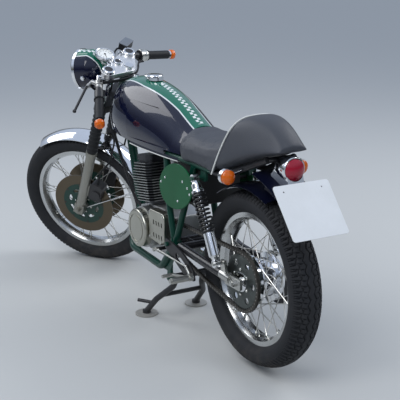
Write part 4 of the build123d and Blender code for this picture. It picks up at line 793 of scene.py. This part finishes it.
# %% [markdown]
# ## Seat cushion
#
# The seat is foam under black vinyl, with a rounded nose against the tank and a hollow for the rider. A
# block with rounded edges looks like plastic, because real foam swells between its edges. Rings of points
# give the form, a voxel remesh makes even faces, and a short cloth simulation with air pressure swells the
# cover, with gravity off. No point may move further than a few millimetres, and the base stays flat where
# it rests on the rails.


# %% Rings and skins
def ring_loft(mesh, rings):
    """Closed rings of points joined one to the next, and filled at both ends."""
    loops = []
    for ring in rings:
        corners = [mesh.verts.new(point) for point in ring]
        loops.append([mesh.edges.new(pair) for pair in zip(corners, corners[1:] + corners[:1])])
    for near_loop, far_loop in zip(loops, loops[1:]):
        bmesh.ops.bridge_loops(mesh, edges=near_loop + far_loop)
    bmesh.ops.holes_fill(mesh, edges=loops[0] + loops[-1])


def seat_ring(x, lean, base, side, side_z, shoulder, shoulder_z, top):
    """One ring of the cushion: flat base, upright sides, round shoulders and a slightly crowned top."""
    base_z = 715
    half_ring = [(base - 13, base_z), (base - 9, base_z - 10), (base, base_z - 10), (side, side_z),
                 (shoulder + 0.55 * (side - shoulder), shoulder_z - 8), (shoulder, shoulder_z),
                 (0.55 * shoulder, top - 2), (0.2 * shoulder, top)]
    outline = half_ring + [(-y, z) for y, z in reversed(half_ring)]
    return [(x - lean * (z - base_z), y, z) for y, z in outline]


seat_rings = [
    seat_ring(395, 0.0, 101, 104, 752, 76, 792, 813), seat_ring(378, 0.0, 113, 116, 752, 84, 790, 808),
    seat_ring(335, 0.0, 118, 121, 750, 92, 785, 799), seat_ring(262, 0.05, 118, 121, 750, 95, 783, 796),
    seat_ring(200, 0.15, 118, 120, 752, 93, 788, 802), seat_ring(155, 0.35, 117, 118, 756, 90, 800, 817),
    seat_ring(123, 0.45, 116, 115, 762, 88, 812, 832)]
seat_mesh = bmesh.new()
ring_loft(seat_mesh, seat_rings)
seat = finish_piece("seat_cushion_cover", seat_mesh, bike_frame, "chassis", seat_vinyl, ["seat_cushion"])
print("seat rings", len(seat_rings))


# %% Swell a cushion with cloth
cloth_frames = 20


def apply_modifiers(piece):
    """Bake the live modifiers into the piece's own mesh."""
    graph = bpy.context.evaluated_depsgraph_get()
    baked = bpy.data.meshes.new_from_object(piece.evaluated_get(graph), depsgraph=graph)
    piece.modifiers.clear()
    piece.data = baked


def remesh(piece, voxel):
    """Even faces from a voxel grid, softened once."""
    grid = piece.modifiers.new("even_faces", "REMESH")
    grid.mode = "VOXEL"
    grid.voxel_size = voxel
    soften = piece.modifiers.new("soften", "SMOOTH")
    soften.iterations = 6
    apply_modifiers(piece)


def swell(piece, pressure, cap):
    """Blow the cover up by cloth, and let no point move further than the cap in metres."""
    before = [vert.co.copy() for vert in piece.data.vertices]
    cloth = piece.modifiers.new("cover", "CLOTH")
    cloth.settings.use_pressure = True
    cloth.settings.uniform_pressure_force = pressure
    cloth.settings.effector_weights.gravity = 0
    scene = bpy.context.scene
    for number in range(1, cloth_frames + 1):
        scene.frame_set(number)
    apply_modifiers(piece)
    scene.frame_set(1)
    for vert, start in zip(piece.data.vertices, before):
        step = vert.co - start
        if step.length > cap:
            vert.co = start + step * (cap / step.length)


remesh(seat, voxel=0.0055)
swell(seat, pressure=4, cap=0.007)
tank_end = (bike_frame @ Vector((396.6, 0, 0))).x
seat_floor = (bike_frame @ Vector((0, 0, 713))).z
floor_half_width = 0.104
for vert in seat.data.vertices:
    vert.co.x = min(vert.co.x, tank_end)
    if abs(vert.co.y - rear_axle.y) < floor_half_width:
        vert.co.z = max(vert.co.z, seat_floor)
smooth = seat.modifiers.new("smooth", "SUBSURF")
smooth.levels = 1
smooth.render_levels = 1
apply_modifiers(seat)
seat.data.polygons.foreach_set("use_smooth", [True] * len(seat.data.polygons))
print("seat faces", len(seat.data.polygons))

# %% [markdown]
# ## Seat hump and its piping
#
# Behind the rider the seat ends in a tall hump: thin padding over a hard shell. Its front rim lies in one
# leaning plane, where a white piping is sewn in. The second ring is that rim, read off the photograph, and
# the later rings narrow to the tail. The rim keeps a tight edge because a ring lies close on either side of
# it, and a subdivision surface rounds the rest. The piping is a curve with a round section along the same
# rim.


# %% Hump
hump_foot = 712
end_inset = 14


def hump_ring(x, lean, base, base_z, shoulder, shoulder_z, top):
    """One ring of the hump: leaning sides, tight shoulders and a nearly flat top."""
    half_ring = [(base, base_z), (base + 0.3 * (shoulder - base) + 4, base_z + 0.4 * (shoulder_z - base_z)),
                 (shoulder + 2, shoulder_z), (0.8 * shoulder, 0.35 * shoulder_z + 0.65 * top),
                 (0.5 * shoulder, top - 4), (0.16 * shoulder, top)]
    outline = half_ring + [(-y, z) for y, z in reversed(half_ring)]
    return [(x - lean * (z - hump_foot), y, z) for y, z in outline]


hump_rings = [
    hump_ring(119, 0.45, 121, 714, 97, 854, 908), hump_ring(118, 0.45, 127, 705, 104, 860, 916),
    hump_ring(110, 0.45, 127, 708, 104, 862, 920), hump_ring(60, 0.3, 124, 731, 98, 870, 927),
    hump_ring(-20, 0.1, 114, 768, 88, 872, 929), hump_ring(-95, 0.0, 96, 798, 72, 868, 919),
    hump_ring(-150, 0.0, 74, 816, 58, 856, 889), hump_ring(-184, 0.0, 60, 826, 48, 842, 856),
    hump_ring(-190, 0.0, 54, 829, 44, 840, 848)]
hump_mesh = bmesh.new()
ring_loft(hump_mesh, hump_rings)
for face in [face for face in hump_mesh.faces if len(face.verts) > 4]:
    bmesh.ops.inset_individual(hump_mesh, faces=[face], thickness=end_inset, use_even_offset=True)
hump = finish_piece("seat_hump_cover", hump_mesh, bike_frame, "chassis", seat_vinyl, ["seat_hump"],
                    sharp=180)
smooth = hump.modifiers.new("smooth", "SUBSURF")
smooth.levels = 3
smooth.render_levels = 3
apply_modifiers(hump)


# %% White piping along the rim
def tube(name, points, radius, place, body, material):
    """A round tube along a smooth curve through a frame's points, as a mesh."""
    data = bpy.data.curves.new(name, "CURVE")
    data.dimensions = "3D"
    data.bevel_depth = radius * MM
    data.bevel_resolution = 3
    data.use_fill_caps = True
    spline = data.splines.new("NURBS")
    spline.points.add(len(points) - 1)
    for handle, spot in zip(spline.points, points):
        handle.co = (*(place @ Vector(spot)), 1)
    spline.order_u = 3
    spline.use_endpoint_u = True
    spline.resolution_u = 6
    line_object = bpy.data.objects.new(name + "_line", data)
    bpy.context.collection.objects.link(line_object)
    graph = bpy.context.evaluated_depsgraph_get()
    mesh = bmesh.new()
    mesh.from_mesh(bpy.data.meshes.new_from_object(line_object.evaluated_get(graph), depsgraph=graph))
    bpy.data.objects.remove(line_object)
    finish_piece(name, mesh, Matrix.Identity(4), body, material, sharp=60)


rim_line = hump_ring(117, 0.45, 128.5, 705, 105.5, 861, 919.5)
piping_radius = 2.8
tube("seat_piping", rim_line, piping_radius, bike_frame, "chassis", piping_white)
print("hump faces", len(hump.data.polygons))

# %% [markdown]
# ## Instruments and the top yoke
#
# The rider looks down on a pale dial in a chrome bezel, two small warning lamps, an ignition switch and the
# polished yoke. Round things like these are turned on a lathe, and the script does the same: it draws half
# a profile and spins it. The scale marks are small bars and the numerals are text turned into a mesh,
# because a texture image would need a file.


# %% Lathe for round pieces
AXIS = 0.001


def lathe(mesh, profile, steps=48, place=Matrix.Identity(4)):
    """Spin a closed line of (radius, height) points about Z, and move the result to a place."""
    old = set(mesh.verts)
    corners = [mesh.verts.new((radius, 0, height)) for radius, height in profile]
    edges = [mesh.edges.new(pair) for pair in zip(corners, corners[1:] + corners[:1])]
    bmesh.ops.spin(mesh, geom=corners + edges, cent=(0, 0, 0), axis=(0, 0, 1), angle=2 * math.pi, steps=steps,
                   use_merge=True)
    made = [vert for vert in mesh.verts if vert not in old]
    bmesh.ops.remove_doubles(mesh, verts=made, dist=AXIS)
    made = [vert for vert in mesh.verts if vert not in old]
    bmesh.ops.transform(mesh, matrix=place, verts=made)


def lathe_piece(name, rounds, place, body, material):
    """One piece from several (profile, steps, place) rounds."""
    mesh = bmesh.new()
    for profile, steps, spot in rounds:
        lathe(mesh, profile, steps, spot)
    finish_piece(name, mesh, place, body, material)


def plug(radius, foot, edge, middle):
    """The profile of a solid disc: flat below, and raised to the middle above."""
    return [(AXIS, foot), (radius, foot), (radius, edge), (AXIS, middle)]


def along(start, direction):
    """A frame whose Z runs from a point in a direction."""
    return Matrix.Translation(start) @ Vector(direction).to_track_quat("Z", "Y").to_matrix().to_4x4()


def bevelled_box(mesh, middle, size, offset):
    """A box with rounded edges."""
    box = bmesh.ops.create_cube(mesh, size=1, matrix=Matrix.Translation(middle) @ Matrix.Diagonal((*size, 1)))
    edges = list({edge for vert in box["verts"] for edge in vert.link_edges})
    bmesh.ops.bevel(mesh, geom=edges, offset=offset, segments=3, affect="EDGES", profile=0.5, material=-1)


# %% Speedometer dial and bezel
dial_white = finish("dial_white", (0.84, 0.85, 0.82), (0.76, 0.77, 0.74), 0.4, amount=0.3)
mark_black = finish("mark_black", (0.02, 0.02, 0.02), (0.04, 0.04, 0.04), 0.5)
dial_frame = fork_frame @ Matrix.Translation((116, 0, 753)) @ Matrix.Rotation(math.radians(-90), 4, "Z")
at_origin = Matrix.Identity(4)
bezel = [(35.2, 1.0), (35.8, 4.6), (38.4, 6), (41.2, 5), (42, 2), (42, -3), (41.2, -3), (41.2, 1)]
dial = plug(35.6, 0.2, 0.9, 0.9)
lathe_piece("speedometer_dial", [(dial, 48, at_origin)], dial_frame, "steering", dial_white)
lathe_piece("speedometer_bezel", [(bezel, 48, at_origin)], dial_frame, "steering", chrome)
print("bezel across", 2 * max(radius for radius, height in bezel), "mm")

# %% Speedometer scale and needle
zero_angle = 225
mark_count, mark_step, mark_end = 37, 7.5, 33.5
numeral_count, numeral_step, numeral_radius, numeral_size = 10, 30, 22.5, 6.2
mesh = bmesh.new()
for i in range(mark_count):
    major = i % 4 == 0
    long, wide = (6, 0.9) if major else (3, 0.5)
    turn = Matrix.Rotation(math.radians(zero_angle - mark_step * i), 4, "Z")
    place = turn @ Matrix.Translation((mark_end - long / 2, 0, 1.1))
    bmesh.ops.create_cube(mesh, size=1, matrix=place @ Matrix.Diagonal((long, wide, 0.3, 1)))
for i in range(numeral_count):
    angle = math.radians(zero_angle - numeral_step * i)
    words = bpy.data.curves.new("numeral", "FONT")
    words.body = str(20 * i)
    words.size = numeral_size
    words.align_x, words.align_y = "CENTER", "CENTER"
    writing = bpy.data.objects.new("numeral", words)
    bpy.context.collection.objects.link(writing)
    flat_text = bpy.data.meshes.new_from_object(writing)
    bpy.data.objects.remove(writing)
    flat_text.transform(Matrix.Translation((
        numeral_radius * math.cos(angle), numeral_radius * math.sin(angle), 1.15)))
    mesh.from_mesh(flat_text)
finish_piece("speedometer_scale", mesh, dial_frame, "steering", mark_black)

mesh = bmesh.new()
add_rod(mesh, (0, 0, 2), (-20, -20, 2), 1.3, 0.5)
lathe(mesh, [(AXIS, 1), (4, 1), (4, 2.6), (3, 3.4), (AXIS, 3.6)], 24)
finish_piece("speedometer_needle", mesh, dial_frame, "steering", mark_black)
print("scale marks", mark_count, "numerals", numeral_count)

# %% Yoke fittings
yoke_top = 744
tube_tops = [Matrix.Translation((48, y, yoke_top + 10)) for y in (94, -94)]
ignition = Matrix.Translation((50, 4, yoke_top))
stem_nut = Matrix.Translation((0, 0, yoke_top + 0.2))
warning_lamps = [Matrix.Translation((72, y, yoke_top)) for y in (40, -66)]
cap_ring = [(17, 0.2), (17.4, 2.4), (24, 2.4), (26, 0.8), (27, -10.2)]
ignition_ring = [(13.4, 0.2), (13.4, 7), (14.5, 8.5), (19, 8), (21.5, 5), (22, 0.2)]
nut_dome = [(AXIS, 0), (20.4, 0), (20.6, 6), (18, 10.5), (10, 12.6), (AXIS, 13)]
warning_ring = [(7.6, -12), (7.6, 5), (8.8, 6.4), (11.4, 5.5), (12, -12)]
rings = [(cap_ring, 48, spot) for spot in tube_tops]
rings += [(ignition_ring, 48, ignition), (nut_dome, 48, stem_nut)]
rings += [(warning_ring, 32, spot) for spot in warning_lamps]
lathe_piece("yoke_rings", rings, fork_frame, "steering", chrome)
centres = [(plug(16.9, 0.2, 1.4, 1.4), 32, spot) for spot in tube_tops]
centres += [(plug(13.3, 0.2, 7, 7.6), 32, ignition)]
centres += [(plug(7.5, 0.2, 4.6, 5.2), 24, spot) for spot in warning_lamps]
lathe_piece("yoke_dark_centres", centres, fork_frame, "steering", control_metal)
print("yoke rings", len(rings), "dark centres", len(centres))

# %% Reservoir lid and throttle housing
lid_grey = finish("lid_grey", (0.13, 0.15, 0.18), (0.2, 0.22, 0.25), 0.4, amount=0.6)
mesh = bmesh.new()
bevelled_box(mesh, (87.7, -143.7, 760.2), (41, 63, 4), offset=1.6)
finish_piece("reservoir_lid", mesh, fork_frame, "steering", lid_grey)

bar_end, bar_bend = Vector((-49, -328, 670)), Vector((76, -112, 707))
grip_length, housing_reach = 123, 40
grip_line = (bar_end - bar_bend).normalized()
housing = along(bar_end - grip_line * (grip_length + housing_reach), grip_line)
sleeve = [(24.2, 0), (25.6, 1), (25.6, 12), (24.8, 13.5), (24.8, 21), (25.6, 22.5), (25.6, 32), (24.6, 34),
          (24.2, 34)]
lathe_piece("throttle_housing", [(sleeve, 48, housing)], fork_frame, "steering", polished_alloy)

end_ring = [(13.3, 0), (17.6, 6), (18.2, 5.4), (14.4, -0.8), (13, -0.8)]
ends = []
for side in (1, -1):
    outward = Vector((-125, side * 216, -37)).normalized()
    lamp_start = Vector((-49, side * 328, 670)) + outward * 0.3
    ends.append((end_ring, 40, along(lamp_start, outward)))
lathe_piece("end_lamp_rings", ends, fork_frame, "steering", chrome)
print("grip from the bar's end, mm", grip_length)

# %% Control cables behind the yoke
cable_radius = 3.6
crossing = [(12, -200, 674), (10, -150, 697), (0, -104, 714), (-30, -44, 723), (-33, 10, 724), (-24, 50, 724),
            (4, 90, 719), (56, 138, 706), (104, 128, 690), (112, 96, 640)]
cable_end = (70, 60, 600)
for number, drop in (("first", 0), ("second", 7)):
    route = [(x, y, z - drop) for x, y, z in crossing] + [cable_end]
    tube(f"crossing_cable_{number}", route, cable_radius, fork_frame, "steering", black_rubber)
print("cable points", len(route))

# %% [markdown]
# ## Filler cap, tank seam and tail lamp
#
# The filler has a flat polished lid that opens forward over its neck. Along the foot of the tank runs a
# folded seam with a pale bead. The tail lamp is a deep chrome bowl with a red lens. The lid and the bowl
# are turned pieces, and the seam is a line of edges extruded down and given a wall.

# %% Filler cap
neck, lid, front_knob = (772, 0, 943), (794, 0, 951), (948, 0, 936)
lid_dome = [(AXIS, 0), (35, 0), (37.6, 1.5), (38, 4), (36.5, 6.5), (30, 7.8), (AXIS, 8.6)]
knob_shape = [(AXIS, -22), (17, -22), (17, -5), (13, -4), (13, 0), (11, 1.6), (AXIS, 2)]
mesh = bmesh.new()
lathe(mesh, plug(30, -4, 8, 8), 48, Matrix.Translation(neck))
lathe(mesh, lid_dome, 64, Matrix.Translation(lid))
lathe(mesh, knob_shape, 40, Matrix.Translation(front_knob))
for x, z, long, wide, tall in ((829, 946, 16, 22, 16), (748, 955, 38, 16, 4)):
    bevelled_box(mesh, (x, 0, z), (long, wide, tall), offset=1.5)
finish_piece("filler_cap", mesh, bike_frame, "chassis", chrome, ["fuel_cap"])
print("lid across", 2 * max(radius for radius, height in lid_dome), "mm")

# %% Tank seam with its bead
seam_line = [(775, 121.5, 706), (700, 121, 703.5), (620, 119, 702.5), (540, 115.5, 702.5),
             (460, 110.5, 702.5), (406, 105, 702.5)]
seam_inset, seam_flare, seam_height, seam_wall = 1.5, 2, 12, 1.2
bead_radius, bead_out = 2.1, 0.4
for side, word in ((1, "left"), (-1, "right")):
    mesh = bmesh.new()
    corners = [mesh.verts.new((x, side * (y - seam_inset), z)) for x, y, z in seam_line]
    edges = [mesh.edges.new(pair) for pair in zip(corners, corners[1:])]
    lower = bmesh.ops.extrude_edge_only(mesh, edges=edges)["geom"]
    lower_corners = [part for part in lower if isinstance(part, bmesh.types.BMVert)]
    bmesh.ops.translate(mesh, vec=(0, side * seam_flare, -seam_height), verts=lower_corners)
    bmesh.ops.solidify(mesh, geom=list(mesh.faces), thickness=seam_wall)
    finish_piece(f"tank_seam_{word}", mesh, bike_frame, "chassis", dark_blue)
    bead = [(x, side * (y + bead_out), z - seam_height) for x, y, z in seam_line]
    tube(f"tank_bead_{word}", bead, bead_radius, bike_frame, "chassis", piping_white)
print("seam length", seam_line[0][0] - seam_line[-1][0], "mm")

# %% Tail lamp bowl
bowl_mouth = along((-196, 0, 771), (-1, 0, 0))
bowl = [(38.2, 4), (41, 3.4), (43.5, 0), (44, -8), (42.5, -24), (38, -48), (30, -68), (18, -84), (AXIS, -90),
        (AXIS, -70), (35, -20), (37.6, -1)]
lathe_piece("tail_lamp_bowl", [(bowl, 56, bowl_mouth)], bike_frame, "chassis", chrome)
print("bowl depth", -min(height for radius, height in bowl), "mm")

# %% [markdown]
# ## Screws, nuts and chain pins
#
# Nothing tells the eye the size of a machine as surely as its screws. A screw head is a short cone on a
# short drum. One function places any number of them at given points, all in one mesh, and the same points
# are mirrored where the other side has the same screws. The chain's pins follow the same route as the solid
# chain, one pin per pitch.


# %% Heads on a surface
SUNK = 0.6
STRAIGHT_SHARE = 0.6
TOP_SHARE = 0.7


def heads(name, points, radius, height, direction, place, body, material, sides=12):
    """Screw or nut heads at points, standing up in one direction, with a bevelled top."""
    mesh = bmesh.new()
    rise = Vector(direction).normalized()
    for point in points:
        start = Vector(point) - rise * SUNK
        middle = start + rise * (SUNK + STRAIGHT_SHARE * height)
        add_rod(mesh, start, middle, radius, radius, sides)
        add_rod(mesh, middle, start + rise * (SUNK + height), radius, radius * TOP_SHARE, sides)
    finish_piece(name, mesh, place, body, material)


def on_circle(x, y, z, radius, count, turn=0.0):
    """Points on a circle about the Y direction."""
    return [(x + radius * math.cos(turn + 2 * math.pi * i / count), y,
             z + radius * math.sin(turn + 2 * math.pi * i / count)) for i in range(count)]


LEFT, RIGHT = (0, 1, 0), (0, -1, 0)
cover_screws = [(455, 623), (488, 600), (320, 634), (284, 617), (268, 597), (358, 552)]
cover_y, carrier_y, bracket_y = 133, 63, 98
sprocket_cover_screws = [(512, 118, 450), (618, 118, 447), (617, 118, 347), (524, 118, 341)]
for side, word in ((1, "left"), (-1, "right")):
    out = (0, side, 0)
    bolts = on_circle(0, side * carrier_y, 0, 40, 6)
    buttons = on_circle(0, side * carrier_y, 0, 97.5, 8, 0.39)
    bracket = (lamp_middle.x, side * bracket_y, lamp_middle.z)
    heads(f"cover_screws_{word}", [(x, side * cover_y, z) for x, z in cover_screws], 4.6, 2.6, out,
          bike_frame, "chassis", chrome)
    heads(f"disc_bolts_{word}", bolts, 5, 4, out, front_wheel_frame, "front_wheel", polished_alloy, 6)
    heads(f"disc_buttons_{word}", buttons, 5.5, 1.6, out, front_wheel_frame, "front_wheel", chain_steel)
    heads(f"lamp_bolts_{word}", [bracket], 11, 6, out, fork_frame, "steering", chrome, 6)
heads("sprocket_cover_screws", sprocket_cover_screws, 5, 3, LEFT, bike_frame, "chassis", polished_alloy, 6)
heads("alternator_screws", on_circle(712, 132, 357, 64, 3, 0.5), 4.4, 2, LEFT, bike_frame, "chassis",
      polished_alloy)
heads("clutch_cover_screws", on_circle(686, -134.3, 357, 70, 8, 0.2), 5, 3, RIGHT, bike_frame, "chassis",
      polished_alloy, 6)
heads("sprocket_nuts", on_circle(0, 78.2, 0, 46, 6, 0.5), 6.5, 6, LEFT, rear_wheel_frame, "rear_wheel",
      polished_alloy, 6)
print("screws on a side cover", len(cover_screws))


# %% Chain pins
chain_pitch, chain_y, chain_sag = 15.875, 75, 18
rear_teeth, front_teeth = 42, 16
rear_z, front_x, front_z = 336, 560, 392
pin_radius, pin_reach = 2.7, 7.4


def chain_line():
    """Points along the chain: two wraps, a straight run on top and a slack run below."""
    rear_r = chain_pitch / (2 * math.sin(math.pi / rear_teeth))
    front_r = chain_pitch / (2 * math.sin(math.pi / front_teeth))
    angle = math.atan2(front_z - rear_z, front_x)
    lean = math.asin((rear_r - front_r) / math.hypot(front_x, front_z - rear_z))
    up, down = angle + math.pi / 2 - lean, angle - math.pi / 2 + lean

    def rear(a):
        return rear_r * math.cos(a), rear_z + rear_r * math.sin(a)

    def front(a):
        return front_x + front_r * math.cos(a), front_z + front_r * math.sin(a)

    low = ((front(down)[0] + rear(down)[0]) / 2, (front(down)[1] + rear(down)[1]) / 2 - chain_sag)
    line = [rear(up), front(up)] + arc_points(front(up), front(angle), front(down), 90)[1:]
    line += arc_points(front(down), low, rear(down), 90)[1:]
    line += arc_points(rear(down), rear(angle + math.pi), rear(up), 180)[1:]
    return line


def spread_along(line, pitch):
    """Points at even steps along a line, an even number of them and about one pitch apart."""
    runs = [math.dist(a, b) for a, b in zip(line, line[1:])]
    count = 2 * round(sum(runs) / pitch / 2)
    step = sum(runs) / count
    spots, gone, i = [], 0.0, 0
    for number in range(count):
        while gone + runs[i] < number * step:
            gone += runs[i]
            i += 1
        share = (number * step - gone) / runs[i]
        (ax, az), (bx, bz) = line[i], line[i + 1]
        spots.append((ax + (bx - ax) * share, az + (bz - az) * share))
    return spots


pins = spread_along(chain_line(), chain_pitch)
pin_steel = finish("pin_steel", (0.3, 0.29, 0.27), (0.15, 0.14, 0.13), 0.35, metallic=1.0)
mesh = bmesh.new()
for x, z in pins:
    add_rod(mesh, (x, chain_y - pin_reach, z), (x, chain_y + pin_reach, z), pin_radius, pin_radius)
finish_piece("chain_pins", mesh, bike_frame, "chassis", pin_steel)
print("chain pins", len(pins))

# %% [markdown]
# ## More solids with two finishes
#
# The headlamp's front is a chrome rim around glass, the seat rails are painted green only ahead of the seat
# hump, the stand's foot plates are bare and pale, and the footrest hangers are black under their silver
# pegs. The mask from above serves all four.

# %% Lamp rim, rails, foot plates and hangers
rail_start = bike_frame @ Matrix.Translation((1130, 0, 0))
wear_material("headlamp_glass", two_finish(
    "lamp_rim_and_glass", 0.05, ((0.83, 0.84, 0.86), 1.0), ((0.75, 0.79, 0.8), 0.0),
    lamp_frame, (0, 1, 1), 0.0768, 0.0764))
wear_material("frame_spine", two_finish(
    "rails_green_and_black", 0.35, ((0.012, 0.012, 0.014), 0.0), ((0.004, 0.045, 0.03), 0.0),
    rail_start, ALONG_X, 0.97, 0.95))
wear_material("centre_stand", two_finish(
    "stand_and_pads", 0.36, ((0.018, 0.018, 0.02), 0.0), ((0.36, 0.35, 0.32), 0.3),
    Matrix.Identity(4), ALONG_Z, 0.0066, 0.0062))
wear_material("rear_sets", two_finish(
    "hangers_and_pegs", 0.32, ((0.014, 0.014, 0.016), 0.2), ((0.5, 0.5, 0.47), 1.0),
    bike_frame, ALONG_Y, 0.1322, 0.1328))
print("finishes", len(bpy.data.materials))

# %% [markdown]
# ## Fins with painted highlights on their edges
#
# The cylinder is painted dark, and its fin edges carry a painted highlight, a bright colour where light
# catches them, which is what makes the stack read as thin plates. The mask is worked out in the engine's own
# tilted frame: a point near the outline of its fin, which changes with height, is on an edge. Two gusset
# plates close the frame below the swingarm pivot.


# %% Painted highlight mask for the fin edges
engine_frame = bike_frame @ Matrix.Translation((712, 0, 357)) @ Matrix.Rotation(math.radians(9), 4, "Y")
edge_start, edge_full = -0.0025, -0.0008
# painted highlight: the bright colour laid on the fin edges where light catches them
painted_edge_highlight = (0.42, 0.43, 0.42, 1)


def fin_finish(name, half_length, half_width, base, slope_x, slope_y):
    """Dark alloy with a painted highlight, bright where a point lies on the outline of its fin."""
    material = finish(name, (0.07, 0.072, 0.078), (0.04, 0.04, 0.045), 0.4, metallic=0.9, grain=0.0002,
                      grain_scale=600.0)
    tree = material.node_tree
    shader = tree.nodes["Principled BSDF"]
    point = add_node(tree, "ShaderNodeSeparateXYZ", [(0, point_in(tree, engine_frame))]).outputs
    rise = math_node(tree, "SUBTRACT", point["Z"], base)
    nearest = []
    for label, half, slope in (("X", half_length, slope_x), ("Y", half_width, slope_y)):
        size = math_node(tree, "MULTIPLY_ADD", rise, slope, half)
        nearest.append(math_node(tree, "SUBTRACT", math_node(tree, "ABSOLUTE", point[label]), size))
    # painted highlight: near a fin's outline the base colour turns bright
    mask = ranged(tree, math_node(tree, "MAXIMUM", *nearest), edge_start, edge_full)
    plain = shader.inputs["Base Color"].links[0].from_socket
    tree.links.new(mixed(tree, mask, plain, painted_edge_highlight), shader.inputs["Base Color"])
    return material


wear_material("cylinder", fin_finish("barrel_fins", half_length=0.068, half_width=0.088, base=0.1055,
                                     slope_x=0.1455, slope_y=0.1164))
wear_material("cylinder_head", fin_finish("head_fins", half_length=0.0824, half_width=0.0995, base=0.2116,
                                          slope_x=-0.227, slope_y=-0.136))
print("finishes", len(bpy.data.materials))

# %% Gusset plates below the pivot
gusset_y, gusset_wall = 94, 4
gusset_outline = [(424, 372), (466, 376), (562, 262), (566, 226), (500, 226), (440, 318)]
mesh = bmesh.new()
for side in (1, -1):
    corners = [mesh.verts.new((x, side * gusset_y, z)) for x, z in gusset_outline]
    face = mesh.faces.new(corners)
    bmesh.ops.solidify(mesh, geom=[face], thickness=gusset_wall)
finish_piece("pivot_gussets", mesh, bike_frame, "chassis", frame_green)
print("gusset corners", len(gusset_outline))
